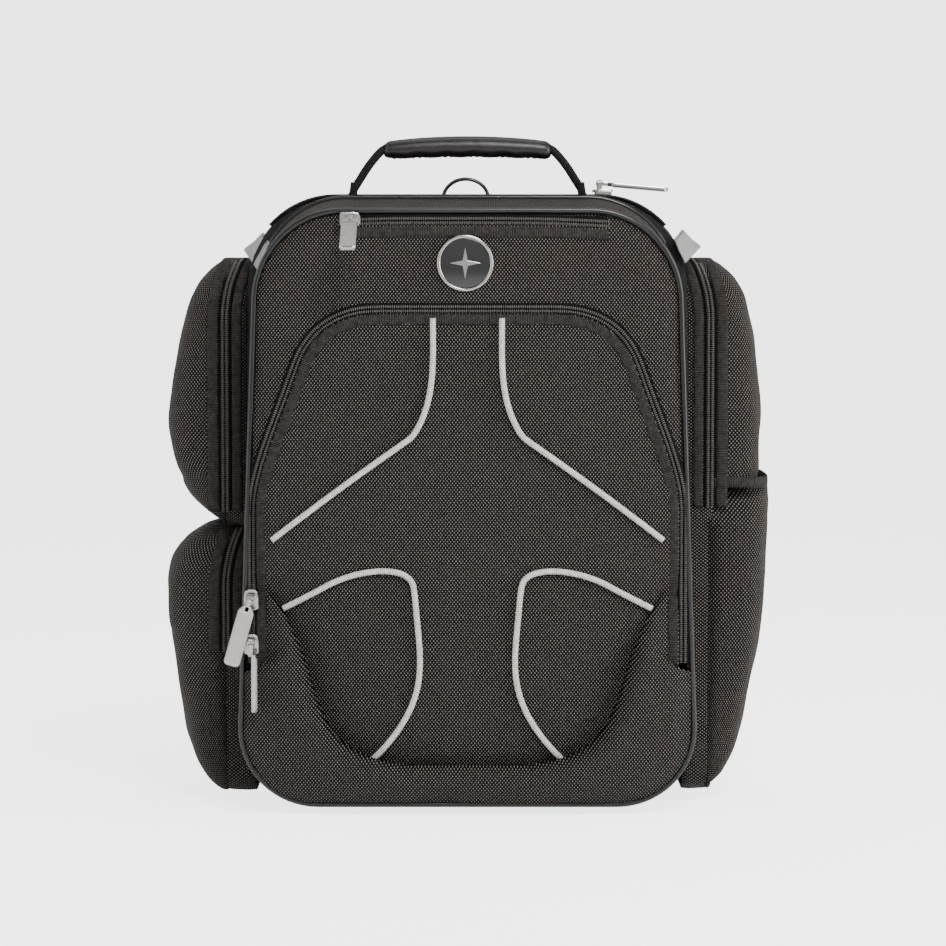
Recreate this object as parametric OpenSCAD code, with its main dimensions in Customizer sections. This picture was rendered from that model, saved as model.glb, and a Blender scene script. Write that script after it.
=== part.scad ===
// Flight bag: an upright soft case with a zipped front pocket, side pockets, a top lid and a carry handle.
// Millimetres. X to the bag's left-to-right as seen from the front, -Y is the front, +Z is up, feet at z = 0.

/* [Overall] */
// Half width of the front at its widest
front_half = 153; // [120:1:190]
// Height of the front outline's top edge
front_top = 407; // [340:1:495]
// How much taller the main body is than the front
flare = 10; // [8:0.5:13]
// How much wider the main body is than the front, on each side
side_flare = 3; // [2:0.5:6]
// Depth of the main compartment's gusset
main_depth = 126; // [100:1:160]
// Depth of the front pocket's gusset
pocket_depth = 28; // [22:1:45]
// How far the lid's lower edge, where the top zip ends, lies below the top
lid_drop = 22; // [18:1:26]

/* [Cloth and boards] */
// Thickness of the padded walls
wall = 3; // [2:0.5:5]
// Thickness of the padded back
back_thick = 8; // [6:0.5:14]
// Thickness of the front panel and of the pocket door
panel_thick = 4; // [3:0.5:6]
// How far the lower bumper stands out from the front panel
bumper_thick = 7; // [4:0.5:9]
// Height of the feet
foot_high = 5; // [3:0.5:8]
// Radius of a foot
foot_r = 9; // [6:0.5:14]

/* [Zips] */
// Width of each half of a zip chain
chain_half = 3.4; // [2.5:0.1:4.5]
// How far a zip chain stands out from what it is sewn to
chain_high = 3.5; // [2.5:0.1:4.5]
// Half length of a slider along its chain
slider_half = 6.5; // [5:0.5:8]
// Length of a pull, from its pin to its tip
pull_long = 47; // [35:1:60]
// Width of a pull
pull_wide = 11; // [8:0.5:13]
// Thickness of a pull
pull_thick = 3; // [2:0.5:4]
// Radius of a pull's pin
pin_r = 1.1; // [0.8:0.1:1.3]
// Width of the ribbon binding beside the pocket zip
binding_wide = 7; // [5:0.5:9]
// Radius of the reflective piping
arch_r = 2; // [1.5:0.1:3]

/* [Front pocket] */
// Height of the fold that the pocket door swings about
fold_z = 157; // [155:0.5:162]
// How far the pocket zip's top run lies below the front's top edge
zip_drop = 65.5; // [63:0.5:75]
// How far in from the front's edge the pocket zip's upright legs lie
zip_in = 8; // [8:0.5:16]
// Height of the pocket zip's lower ends
zip_end_z = 106; // [100:0.5:107]
// Height of the upper slider parked on the left leg
slider_a_z = 147; // [145:0.5:148]
// Height of the lower slider parked on the left leg
slider_b_z = 117; // [115:0.5:119]

/* [Side pockets] */
// Half depth of the side pockets, front to back
side_half = 53; // [42:1:60]
// Height of the side pockets' tops
side_top = 374; // [360:1:374]
// Height of the upper side flaps' folds
side_fold = 223; // [218:1:230]
// Height of the lower left flap's fold
low_fold = 126; // [115:1:135]
// Height of the lower left pocket's top
low_top = 190; // [184:1:190]

/* [Handle and straps] */
// Distance between the handle's two anchors
anchor_gap = 148; // [130:1:156]
// Length of the leather grip
grip_long = 113; // [100:1:120]
// Radius of the leather grip
grip_r = 7; // [5:0.5:9]
// Height of the grip above its pivot
grip_rise = 25; // [20:1:40]
// Gap behind the luggage sleeve for a trolley's tubes
sleeve_gap = 8; // [6:0.5:14]
// Thickness of the shoulder pads
strap_thick = 12; // [8:0.5:15]
// Radius of the badge
badge_r = 18.75; // [14:0.25:22]

/* [Hidden] */
$fn = 48;
gap = 0.3;          // running clearance between pieces that move past each other
eps = 0.05;         // a hair between pieces sewn face to face
corner_steps = 6;   // straight steps in a quarter round of an outline
base_r = 52;        // radius of the lower corners
shoulder_w = 60;    // width of the rounded shoulder
shoulder_h = 62;    // height of the rounded shoulder
front_lean = 3;     // how much narrower the front is at its shoulders
main_lean = 4;      // how much narrower the main body is at its shoulders
front_base = foot_high + 1.8;
main_top = front_top + flare;
main_half = front_half + side_flare;
lid_z = main_top - lid_drop;
zip_top_z = front_top - zip_drop;
zip_leg_x = front_half - zip_in;

main_front = -main_depth / 2;                      // before the centring shift
main_rear = main_depth / 2;
rim_rear = main_front + 15;                        // the fixed rim in front of the top zip
seam_y = rim_rear + chain_half + gap;              // the line between the two halves of the top zip
front_back = main_front - 4;                       // rear of the front gusset, where the second piping lies
panel_rear = front_back - pocket_depth;
panel_front = panel_rear - panel_thick;
chain_front = panel_front - chain_high;
bumper_front = panel_front - bumper_thick;
back_rear = main_rear + back_thick;
sleeve_front = back_rear + sleeve_gap;
sleeve_thick = 2;
strap_front = sleeve_front + sleeve_thick + 0.5;
strap_rear = strap_front + strap_thick;
pin_out = 6.5;                                     // how far a pull's pin stands out from its chain
pin_up = 2;                                        // how far the pin sits from the slider's middle
top_pull_drop = 27;                                // degrees below level at which the top pull rests
front_reach = chain_front - pin_out - pull_long * cos(top_pull_drop) - pull_thick / 2 * sin(top_pull_drop);
shift = -(front_reach + strap_rear) / 2;           // centres the whole bag on y = 0

top_zip_z = front_top - 6;
welt_wide = 6;
badge_z = top_zip_z - chain_half - gap - welt_wide - gap - badge_r;
top_zip_ends = [-84, 92];
top_slider_x = -78;
main_slider_x = 92;
main_pull_drop = 5;                                // degrees that the top zip's pull tips down over the shoulder
chain_top_z = main_top + 2.5;
slider_plate = 2.25;
slider_lip = 1.1;
slider_wide = chain_half + gap / 2 + gap + slider_lip;
anchor_x = anchor_gap / 2;
anchor_y = (main_front + rim_rear) / 2 - 1.5;
bar_z = main_top + 6.5;
bar_r = 1.6;
side_seam = main_half + 10;   // the line between the two halves of a side zip
side_chain_high = 2.5;
side_r = 30;
tail = 22;   // how far a side zip runs on below its fold, at the back
side_y = 3;  // the side pockets' middle, front to back
webbing_half = 4.5;
loop_y = main_rear + 3;
badge_x = -1.5;
arch_y = panel_front - arch_r - eps;
grip_z = bar_z + grip_rise;

// ---- curves ----

function arc(cx, cz, rx, rz, from, to, steps) =
    [for (i = [0:steps]) let (a = from + (to - from) * i / steps) [cx + rx * cos(a), cz + rz * sin(a)]];

function reversed(points) = [for (i = [len(points) - 1:-1:0]) points[i]];

function mirrored(points) = [for (p = points) [-p[0], p[1]]];

function bezier(a, b, c, d, steps) =
    [for (i = [0:steps]) let (t = i / steps, s = 1 - t)
        s * s * s * a + 3 * s * s * t * b + 3 * s * t * t * c + t * t * t * d];

// a path and its mirror image joined into one arch, from the right end to the left end
function arch(half) = concat(half, [for (i = [len(half) - 2:-1:0]) [-half[i][0], half[i][1]]]);

function unit(v) = v / norm(v);

function direction(p, i) = unit(p[min(i + 1, len(p) - 1)] - p[max(i - 1, 0)]);

// a path moved sideways; positive is to the right of its direction of travel
function beside(p, d) = [for (i = [0:len(p) - 1]) let (t = direction(p, i)) p[i] + d * [t[1], -t[0]]];

function band(p, d0, d1) = concat(beside(p, d0), reversed(beside(p, d1)));

// the upright rounded outline of the bag: half width and height at the top of its front, grown by g
function outline(half, lean, top, bottom, g) = concat(
    arc(half - base_r, bottom + base_r, base_r + g, base_r + g, -90, 0, corner_steps),
    arc(half - lean - shoulder_w, top - shoulder_h, shoulder_w + g, shoulder_h + g, 0, 90, corner_steps + 2),
    arc(shoulder_w + lean - half, top - shoulder_h, shoulder_w + g, shoulder_h + g, 90, 180, corner_steps + 2),
    arc(base_r - half, bottom + base_r, base_r + g, base_r + g, 180, 270, corner_steps));

function front_outline(g) = outline(front_half, front_lean, front_top, front_base, g);

function main_outline(g) = outline(main_half, main_lean, main_top, foot_high, g);

// the pocket zip's line, from the foot of its right leg over the top to the foot of its left leg
function zip_line(z_end) = arch(concat(
    [[zip_leg_x, z_end]],
    reversed(bezier([116, zip_top_z - 39.5], [126, zip_top_z - 69.5], [zip_leg_x, 232], [zip_leg_x, 208], 7)),
    reversed(bezier([60, zip_top_z], [90, zip_top_z], [108, zip_top_z - 15.5], [115.9, zip_top_z - 39.2], 6)),
    [[0, zip_top_z]]));

// ---- solids from outlines ----

// a flat outline in X and Z, thick from y0 to y1
module slab(y0, y1) translate([0, y1, 0]) rotate([90, 0, 0]) linear_extrude(y1 - y0) children();

// a flat outline in Y and Z, thick from x0 to x1
module side_slab(x0, x1) translate([x0, 0, 0]) rotate([90, 0, 90]) linear_extrude(x1 - x0) children();

module block(low, high) translate(low) cube(high - low);

module above(z) translate([-300, z]) square([600, 300]);

module below(z) translate([-300, z - 600]) square([600, 600]);

module main_ring(outer, inner) difference() {
    polygon(main_outline(outer));
    polygon(main_outline(inner));
}

module front_ring(outer, inner) difference() {
    polygon(front_outline(outer));
    polygon(front_outline(inner));
}

// a round cord swept along points, closed at both ends
module cord(points, r, sides = 8) {
    n = len(points);
    rings = [for (i = [0:n - 1]) let (
        t = unit(points[min(i + 1, n - 1)] - points[max(i - 1, 0)]),
        u = unit(cross(t, [0, 1, 0])), v = cross(u, t))
        for (k = [0:sides - 1]) points[i] + r * (cos(360 * k / sides) * u + sin(360 * k / sides) * v)];
    sides_faces = [for (i = [0:n - 2]) for (k = [0:sides - 1])
        [i * sides + k, i * sides + (k + 1) % sides, (i + 1) * sides + (k + 1) % sides, (i + 1) * sides + k]];
    first_cap = [for (k = [sides - 1:-1:0]) k];
    last_cap = [for (k = [0:sides - 1]) (n - 1) * sides + k];
    polyhedron(rings, concat(sides_faces, [first_cap], [last_cap]));
}

// ---- body shells ----

module back_panel() color("#1d1c1b") translate([0, shift, 0])
    slab(main_rear + eps, back_rear) intersection() {
        polygon(main_outline(0));
        below(lid_z);
    }

module main_gusset() color("#232120") translate([0, shift, 0]) {
    slab(main_front, rim_rear) main_ring(0, -wall);
    slab(rim_rear, main_rear) intersection() {
        main_ring(0, -wall);
        below(lid_z);
    }
}

module bottom_board() color("#3a3a3a") translate([0, shift, 0])
    block([-(front_half - base_r), main_front + wall + 1, foot_high + wall + eps],
          [front_half - base_r, main_rear - 1, foot_high + 2 * wall]);

module divider() color("#2b2a29") translate([0, shift, 0])
    slab(main_front, main_front + wall) polygon(main_outline(-wall - eps));

module front_gusset() color("#242221") translate([0, shift, 0])
    slab(panel_rear + eps, front_back - eps) front_ring(0, -wall);

module front_panel() color("#262423") translate([0, shift, 0])
    slab(panel_front, panel_rear) difference() {
        polygon(front_outline(-1.05));
        polygon(beside(zip_line(fold_z - gap), chain_half + gap / 2));
        for (side = [-1, 1])
            translate([side * zip_leg_x - chain_half - gap / 2, zip_end_z])
                square([2 * chain_half + gap, fold_z + 5 - zip_end_z]);
    }

module front_piping() color("#0c0c0c") translate([0, shift, 0])
    slab(panel_front - 0.5, panel_rear) front_ring(1.7, -1);

module body_piping() color("#0c0c0c") translate([0, shift, 0])
    slab(front_back, main_front - eps) difference() {
        polygon(main_outline(1.5));
        polygon(front_outline(-wall));
    }

// the padded rim round the lower front, open at the top between its two arms
module bumper() color("#242221") translate([0, shift, 0]) {
    arm_z = slider_a_z - 13;
    arm_x = zip_leg_x - chain_half - binding_wide - 2;
    valley = bezier([124, arm_z], [116, 84], [102, 37], [60, 37], 8);
    corner_z = 92;
    slab(bumper_front, panel_front - eps) intersection() {
        polygon(front_outline(-3.5));
        polygon(concat(
            [[arm_x, arm_z]], valley, reversed(mirrored(valley)),
            [[-arm_x, arm_z], [-arm_x, corner_z], [-front_half, corner_z], [-front_half, 0],
             [front_half, 0], [front_half, corner_z], [arm_x, corner_z]]));
    }
}

module bottom_feet_at() for (x = [-105, 105]) for (y = [main_front + 14, main_rear - 8])
    translate([x, y, 0]) children();

module feet() color("#151515") translate([0, shift, 0]) bottom_feet_at() {
    cylinder(h = foot_high - eps, r = foot_r);
}

// ---- front pocket ----

module pocket_zip_outer() color("#1a1a1a") translate([0, shift, 0]) slab(chain_front, panel_front + 2) {
    polygon(band(zip_line(zip_end_z), gap / 2, chain_half));
    for (side = [-1, 1])
        translate([side * zip_leg_x - (side > 0 ? chain_half : -gap / 2), zip_end_z])
            square([chain_half - gap / 2, fold_z - 2 * gap - zip_end_z]);
}

module pocket_binding_lower() color("#3a3836") translate([0, shift, 0])
    for (side = [-1, 1])
        slab(panel_front - 1.5, panel_front - eps)
            translate([side * (zip_leg_x - chain_half - gap / 2 - binding_wide / 2), zip_end_z - 3])
                translate([-binding_wide / 2, 0]) square([binding_wide, fold_z - gap - zip_end_z + 3]);

module door_panel() color("#262423") translate([0, shift, 0])
    slab(panel_front, panel_rear) polygon(beside(zip_line(fold_z), -chain_half - gap / 2));

module door_zip() color("#1a1a1a") translate([0, shift, 0])
    slab(chain_front, panel_front + 2) polygon(band(zip_line(fold_z), -gap / 2, -chain_half));

module door_binding() color("#3a3836") translate([0, shift, 0])
    slab(panel_front - 1.5, panel_front - eps)
        polygon(band(zip_line(fold_z), -chain_half - gap / 2, -chain_half - gap / 2 - binding_wide));

// the upper reflective lines, one side
arch_upper = concat(
    bezier([23, zip_top_z - 12], [23, 304], [21, 279], [37, 256], 9),
    bezier([39.5, 254.3], [60, 240], [90, 219], [129, 189], 6));

arch_foot = bezier([64, 41], [22, 82], [32, 104], [35.5, 150.5], 9);

// the lower reflective lines, one side: up from the foot, over and down towards the zip
arch_lower = concat(
    arch_foot,
    bezier([36.3, 157.6], [40, 171], [75, 169], [98, 154.4], 6),
    [[118, 143]]);

module arch_line(points, side) cord([for (p = points) [side * p[0], arch_y, p[1]]], arch_r);

module arch_piping_lower() color("#cfc8ba") translate([0, shift, 0])
    for (side = [-1, 1]) {
        arch_line(arch_foot, side);
        arch_line([[99, 153.6], [118, 143]], side);
    }

module door_piping() color("#cfc8ba") translate([0, shift, 0])
    for (side = [-1, 1]) {
        arch_line(arch_upper, side);
        arch_line([for (p = arch_lower) if (p[1] > fold_z + 2.4) p], side);
    }

// ---- top pocket and badge ----

module top_pocket_zip() color("#1a1a1a") translate([0, shift, 0])
    block([top_zip_ends[0], chain_front, top_zip_z - chain_half],
          [top_zip_ends[1], panel_front - eps, top_zip_z + chain_half]);

module top_pocket_welt() color("#33312f") translate([0, shift, 0])
    block([top_zip_ends[0] - 3, panel_front - 1.7, top_zip_z - chain_half - gap - welt_wide],
          [top_zip_ends[1] + 6, panel_front - eps, top_zip_z - chain_half - gap]);

module top_pocket_pouch() color("#2b2a29") translate([0, shift, 0])
    block([-95, panel_rear + 4, zip_top_z + chain_half + 2], [95, panel_rear + 6, top_zip_z]);

module badge_at() translate([badge_x, shift + panel_front - eps, badge_z]) rotate([90, 0, 0]) children();

// a dish with a raised rim and a raised four-point star
module badge_disc() color("#c9cbcd") badge_at() {
    difference() {
        cylinder(h = 3.4, r = badge_r);
        translate([0, 0, 1.4]) cylinder(h = 3, r = badge_r - 2);
    }
    linear_extrude(3) polygon([for (i = [0:7]) let (r = i % 2 == 0 ? badge_r * 0.56 : badge_r * 0.14)
        [r * cos(45 * i), r * sin(45 * i)]]);
}

module badge_enamel() color("#0b0b0c") badge_at() difference() {
    translate([0, 0, 1.4 + eps]) cylinder(h = 1, r = badge_r - 2 - eps);
    linear_extrude(4) polygon([for (i = [0:7]) let (r = (i % 2 == 0 ? badge_r * 0.56 : badge_r * 0.14) + 0.1)
        [r * cos(45 * i), r * sin(45 * i)]]);
}

// ---- top, lid and handle ----

module main_zip_front() color("#1a1a1a") translate([0, shift, 0])
    slab(seam_y - gap / 2 - chain_half + eps, seam_y - gap) intersection() {
        main_ring(2.5, -1);
        above(lid_z);
    }

module lid_zip() color("#1a1a1a") translate([0, shift, 0])
    slab(seam_y, seam_y + chain_half - eps) intersection() {
        main_ring(2.5, -1);
        above(lid_z + gap);
    }

module lid_panel() color("#242221") translate([0, shift, 0]) {
    slab(seam_y + chain_half, main_rear) intersection() {
        main_ring(0, -wall);
        above(lid_z + gap);
    }
    slab(main_rear, back_rear) intersection() {
        polygon(main_outline(0));
        above(lid_z + gap);
    }
}

module hang_loop() color("#101010") translate([0, shift, 0])
    slab(loop_y - 2, loop_y + 2) difference() {
        intersection() {
            translate([badge_x, main_top + eps]) circle(r = 15);
            translate([-40, main_top + eps]) square([80, 20]);
        }
        translate([badge_x, main_top + 1.5]) circle(r = 11);
    }

module zip_tabs() color("#a9a9a6") translate([0, shift, 0])
    for (side = [-1, 1])
        slab(seam_y - 11, seam_y + 11) intersection() {
            main_ring(1.4, eps);
            translate([side > 0 ? 0 : -300, lid_z - 20]) square([300, 19.5]);
        }

module handle_anchors() color("#171616") translate([0, shift, 0])
    for (side = [-1, 1]) translate([side * anchor_x, anchor_y, 0]) {
        block([-11, -6, main_top + eps], [11, 6, main_top + 1.5]);
        for (lug = [-1, 1])
            translate([lug * 8.5 - 1.5, -2.5, main_top + 1]) cube([3, 5, bar_z + 2.5 - main_top - 1]);
        translate([-9.5, 0, bar_z]) rotate([0, 90, 0]) cylinder(h = 19, r = bar_r);
    }

module handle_webbing() color("#171616") translate([0, shift + anchor_y, 0])
    for (side = [-1, 1]) {
        difference() {
            union() {
                translate([side * anchor_x - 6.5, 0, bar_z]) rotate([0, 90, 0]) cylinder(h = 13, r = bar_r + 2.2);
                slab(-webbing_half, webbing_half) polygon([for (p = [
                    [anchor_x + 1.5, bar_z + 3], [anchor_x - 1.5, bar_z + 3],
                    [grip_long / 2 - 3, grip_z - 1.5], [grip_long / 2 + eps, grip_z + 1.5],
                    [grip_long / 2 + 2.5, grip_z + 1.5]]) [side * p[0], p[1]]]);
            }
            translate([side * anchor_x - 10, 0, bar_z]) rotate([0, 90, 0]) cylinder(h = 20, r = bar_r + gap);
            translate([-grip_long / 2 - eps, 0, grip_z]) rotate([0, 90, 0])
                cylinder(h = grip_long + 2 * eps, r = grip_r + eps);
        }
    }

module handle_grip() color("#1b1412") translate([-grip_long / 2, shift + anchor_y, grip_z])
    rotate([0, 90, 0]) cylinder(h = grip_long, r = grip_r);

// ---- back ----

module trolley_sleeve() color("#222120") translate([0, shift, 0]) difference() {
    block([-80, back_rear + eps, 130], [80, sleeve_front + sleeve_thick, 255]);
    block([-76, back_rear - 1, 120], [76, sleeve_front, 265]);
}

module shoulder_straps() color("#232120") translate([0, shift, 0])
    for (side = [-1, 1]) {
        inner = bezier([24, 360], [22, 300], [52, 250], [52, 175], 8);
        outer = bezier([92, 175], [94, 250], [80, 300], [76, 360], 8);
        slab(strap_front, strap_rear) polygon([for (p = concat(inner, outer)) [side * p[0], p[1]]]);
        slab(back_rear + eps, strap_front) polygon([for (p = [[24, 360], [76, 360], [77, 342], [24.4, 342]])
            [side * p[0], p[1]]]);
    }

module strap_webbing() color("#171616") translate([0, shift, 0])
    for (side = [-1, 1]) {
        slab(strap_front + 3, strap_front + 5)
            polygon([for (p = [[60, 163], [84, 163], [128, 60], [106, 52]]) [side * p[0], p[1]]]);
        slab(back_rear + eps, strap_front + 5)
            polygon([for (p = [[106.2, 51.9], [127.8, 59.9], [131, 52], [109.4, 44]]) [side * p[0], p[1]]]);
    }

module ladder_locks() color("#141414") translate([0, shift, 0])
    for (side = [-1, 1]) translate([side * 72 - 16, strap_front + 1, 163 + eps]) difference() {
        cube([32, 6, 12 - 2 * eps]);
        translate([3, -1, 3]) cube([26, 8, 2.2]);
        translate([3, -1, 7.5]) cube([26, 8, 2.2]);
    }

// ---- side pockets ----

// a side pocket's shape seen from the side: square at the bottom, rounded at its top corners
module side_outline(z0, z1, g) polygon(concat(
    [[-side_half - g, z0], [side_half + g, z0]],
    arc(side_half - side_r, z1 - side_r, side_r + g, side_r + g, 0, 90, 5),
    arc(side_r - side_half, z1 - side_r, side_r + g, side_r + g, 90, 180, 5)));

module side_at() translate([0, shift + side_y, 0]) children();

module side_strip(side, z0, z1) side_at() difference() {
    side_slab(side > 0 ? main_half - 36 : gap / 2 + chain_half - side_seam,
        side > 0 ? side_seam - gap / 2 - chain_half : 36 - main_half)
        difference() {
            side_outline(z0, z1, 0);
            translate([0, -eps]) side_outline(z0 - 1, z1 - wall, -wall);
        }
    translate([0, -side_y - 200, 0]) slab(0, 400) polygon(main_outline(eps));
}

// a solid with an outline seen from the front and a rounded top seen from the side
module pouch_solid(front_points, z0, z1, g) intersection() {
    slab(-100, 100) polygon(front_points);
    side_slab(-260, 260) side_outline(z0, z1, g);
}

module clear_of_body() difference() {
    children();
    translate([0, shift - 200, 0]) slab(0, 400) polygon(main_outline(eps));
}

// points given as distances beyond the body's half width, on one side of the bag
function beyond(side, points) = [for (p = points) [side * (main_half + p[0]), p[1]]];

module side_shell(side, outer, inner, z0, z1) clear_of_body() side_at() difference() {
    pouch_solid(beyond(side, outer), z0, z1, 0);
    pouch_solid(beyond(side, inner), z0, z1, -wall);
}

module left_upper_base() color("#2a2826") {
    side_strip(-1, side_fold, side_top);
    side_shell(-1,
        [[-36, side_fold - 31], [4, side_fold - 31], [14, side_fold - 24], [28, side_fold - 14],
         [40, side_fold], [-36, side_fold]],
        [[-36, side_fold - 28], [2, side_fold - 28], [12, side_fold - 21], [25, side_fold - 11],
         [34, side_fold + 1], [-36, side_fold + 1]],
        150, side_top);
}

module left_lower_base() color("#2a2826") {
    side_strip(-1, low_fold, low_top);
    side_shell(-1,
        [[-56, 8], [16, 8], [32, 27], [40, 45], [47, 95], [51, low_fold], [-56, low_fold]],
        [[-56, 11], [14, 11], [29, 29], [37, 46], [44, 95.4], [48, low_fold + 1], [-56, low_fold + 1]],
        0, low_top + 60);
}

right_base_outer = [[8, 19], [22, 36], [25, 60], [27, 100], [30, 150]];

module right_base() color("#2a2826") {
    side_strip(1, side_fold, side_top);
    side_shell(1,
        concat([[-56, 10], [-6, 10]], right_base_outer, [[30, side_fold], [-56, side_fold]]),
        [[-56, 13], [-7, 13], [6, 22], [19, 38], [22, 60], [24, 100], [27, 150], [27, side_fold + 1],
         [-56, side_fold + 1]],
        0, side_top);
}

module right_slip_pocket() color("#292725") side_at() difference() {
    pouch_solid(beyond(1, [[22.2, 36], [34, 57], [42, 90], [47.5, 118], [51, 160], [51, side_fold - 0.7],
        [30 + eps, side_fold - 0.7], [30 + eps, 150], [27 + eps, 100], [25 + eps, 60]]), 0, side_top, 0);
    pouch_solid(beyond(1, [[14, 54], [28, 54], [31, 60], [39, 92], [44.5, 119], [48, 160], [48, side_fold],
        [14, side_fold]]), 0, side_top, -wall);
}

// the flaps' outer shapes seen from the front
left_upper_shape = beyond(-1, [[14, side_fold], [40, side_fold], [48, 240], [50, 262], [43, 325], [34, 357],
    [20, side_top], [14, side_top]]);
left_lower_shape = beyond(-1, [[14, low_fold], [51, low_fold], [51, 150], [49, 168], [42, 181], [28, low_top],
    [14, low_top]]);
right_shape = beyond(1, [[14, side_fold], [41, side_fold], [46, 250], [46, 275], [42, 325], [35, 354],
    [22, side_top], [14, side_top]]);

// the same shape drawn in by a wall's thickness, and open towards the body and the fold
function hollowed(shape, side, fold) = concat(
    [[side * (side_seam - 3), fold - 1]],
    [for (i = [1:len(shape) - 2]) [shape[i][0] - side * wall, i == 1 ? fold - 1 : shape[i][1]]],
    [[side * (side_seam - 3), shape[len(shape) - 1][1]]]);

module flap(shape, side, fold, top) side_at() difference() {
    pouch_solid([for (p = shape) [p[0], p[1] == fold ? fold + gap : p[1]]], fold, top, 0);
    pouch_solid(hollowed(shape, side, fold), fold - 5, top - wall + eps, -wall);
}

module left_upper_flap() color("#2a2826") flap(left_upper_shape, -1, side_fold, side_top);

module left_lower_flap() color("#2a2826") flap(left_lower_shape, -1, low_fold, low_top);

module right_flap() color("#2a2826") flap(right_shape, 1, side_fold, side_top);

// half of a side zip, an inverted U that stands out round the pocket's edge
module side_chain(x0, x1, z0, top) side_at() side_slab(min(x0, x1), max(x0, x1)) difference() {
    side_outline(z0, top, side_chain_high);
    translate([0, -1]) side_outline(z0 - 1, top + 1, eps);
}

module chain_tail(side, z0, z1) side_at() translate([side * side_seam, 0, 0])
    block([side > 0 ? eps - gap / 2 - chain_half : -chain_half, side_half + eps, z0],
          [side > 0 ? chain_half : gap / 2 + chain_half - eps, side_half + side_chain_high, z1]);

module side_zips_fixed() color("#1a1a1a") {
    side_chain(-(side_seam - gap / 2 - chain_half + eps), -(side_seam - gap / 2), side_fold, side_top);
    side_chain(-(side_seam - gap / 2 - chain_half + eps), -(side_seam - gap / 2), low_fold, low_top);
    side_chain(side_seam - gap / 2 - chain_half + eps, side_seam - gap / 2, side_fold, side_top);
    chain_tail(-1, side_fold - tail, side_fold - eps);
    chain_tail(-1, low_fold - tail, low_fold - eps);
    chain_tail(1, side_fold - tail, side_fold - eps);
}

module left_upper_flap_zip() color("#1a1a1a")
    side_chain(-(side_seam + gap / 2), -(side_seam + chain_half), side_fold + gap, side_top);

module left_lower_flap_zip() color("#1a1a1a")
    side_chain(-(side_seam + gap / 2), -(side_seam + chain_half), low_fold + gap, low_top);

module right_flap_zip() color("#1a1a1a")
    side_chain(side_seam + gap / 2, side_seam + chain_half, side_fold + gap, side_top);

// ---- sliders and pulls, drawn with the chain's front at y = 0, travel along z and the open side towards -y ----

// travel turns the body under its pin, for a chain that runs across the pin's own upright
module slider(travel = 0) {
    wide = slider_wide;
    rotate([0, travel, 0]) {
        block([-wide, -gap - slider_plate, -slider_half], [wide, -gap, slider_half]);
        for (side = [-1, 1])
            block([side > 0 ? wide - slider_lip : -wide, -gap - eps, -slider_half],
                  [side > 0 ? wide : slider_lip - wide, 1.4, slider_half]);
    }
    for (side = [-1, 1])
        block([side > 0 ? 2.9 : -3.9, -pin_out - 1.5, pin_up - 1.5],
              [side > 0 ? 3.9 : -2.9, -gap - slider_plate + eps, pin_up + 1.5]);
    translate([-3.4, -pin_out, pin_up]) rotate([0, 90, 0]) cylinder(h = 6.8, r = pin_r);
}

// a pull: an eye round the pin and a flat tag; out moves the tag away from the bag, edge turns it edge-on,
// lift swings it out about its pin
module pull(lean_by = 0, out = 0, aside = 0, edge = false, lift = 0)
    translate([0, -pin_out, pin_up]) rotate([-lift, 0, 0]) difference() {
    union() {
        translate([-2.3, 0, 0]) rotate([0, 90, 0]) cylinder(h = 4.6, r = pin_r + 1.6);
        rotate([0, -lean_by, 0]) {
            translate([-1.6, 0, 0]) rotate([90, 0, 90]) linear_extrude(3.2)
                polygon([[pull_thick / 2, -1.2], [-pull_thick / 2, -1.2], [-out - pull_thick / 2, -6.4],
                         [-out - pull_thick / 2, -8], [pull_thick / 2, -8]]);
            if (edge)
                block([aside - pull_thick / 2, -out - pull_wide / 2, -pull_long],
                      [aside + pull_thick / 2, -out + pull_wide / 2, -6]);
            else
                slab(-out - pull_thick / 2, -out + pull_thick / 2) difference() {
                    polygon(concat([[2.2, -6.2], [-2.2, -6.2]],
                        [[-pull_wide / 2, -9], [-pull_wide / 2, -pull_long + 1.5], [1.5 - pull_wide / 2, -pull_long],
                         [pull_wide / 2 - 1.5, -pull_long], [pull_wide / 2, -pull_long + 1.5], [pull_wide / 2, -9]]));
                }
        }
    }
    translate([-5, 0, 0]) rotate([0, 90, 0]) cylinder(h = 10, r = pin_r + gap);
}

module slider_a_at() translate([-zip_leg_x, shift + chain_front, slider_a_z]) children();

module slider_b_at() translate([-zip_leg_x, shift + chain_front, slider_b_z]) children();

module top_slider_at() translate([top_slider_x, shift + chain_front, top_zip_z]) children();

module main_slider_at() translate([main_slider_x, shift + seam_y - gap / 2, chain_top_z])
    rotate([0, 0, 90]) rotate([-90, 0, 0]) children();

module side_slider_at(side, z) translate([side * side_seam, shift + side_y + side_half + side_chain_high, z])
    rotate([0, 0, 180]) children();

module pocket_slider_a() color("#c9cbcd") slider_a_at() slider();

module pocket_pull_a() color("#c9cbcd") slider_a_at() pull(lean_by = -16, out = 6.2);

module pocket_slider_b() color("#c9cbcd") slider_b_at() slider();

module pocket_pull_b() color("#c9cbcd") slider_b_at() pull(out = 3, aside = 2.4, edge = true);

module top_slider() color("#c9cbcd") top_slider_at() slider(travel = 90);

module top_pull() color("#c9cbcd") top_slider_at() pull(lift = 90 - top_pull_drop);

module main_slider() color("#c9cbcd") main_slider_at() slider();

module main_pull() color("#c9cbcd") main_slider_at() pull(lift = -main_pull_drop);

module left_upper_slider() color("#c9cbcd") side_slider_at(-1, side_fold - 11) slider();

module left_upper_pull() color("#c9cbcd") side_slider_at(-1, side_fold - 11) pull();

module left_lower_slider() color("#c9cbcd") side_slider_at(-1, low_fold - 11) slider();

module left_lower_pull() color("#c9cbcd") side_slider_at(-1, low_fold - 11) pull();

module right_slider() color("#c9cbcd") side_slider_at(1, side_fold - 11) slider();

module right_pull() color("#c9cbcd") side_slider_at(1, side_fold - 11) pull();

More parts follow.
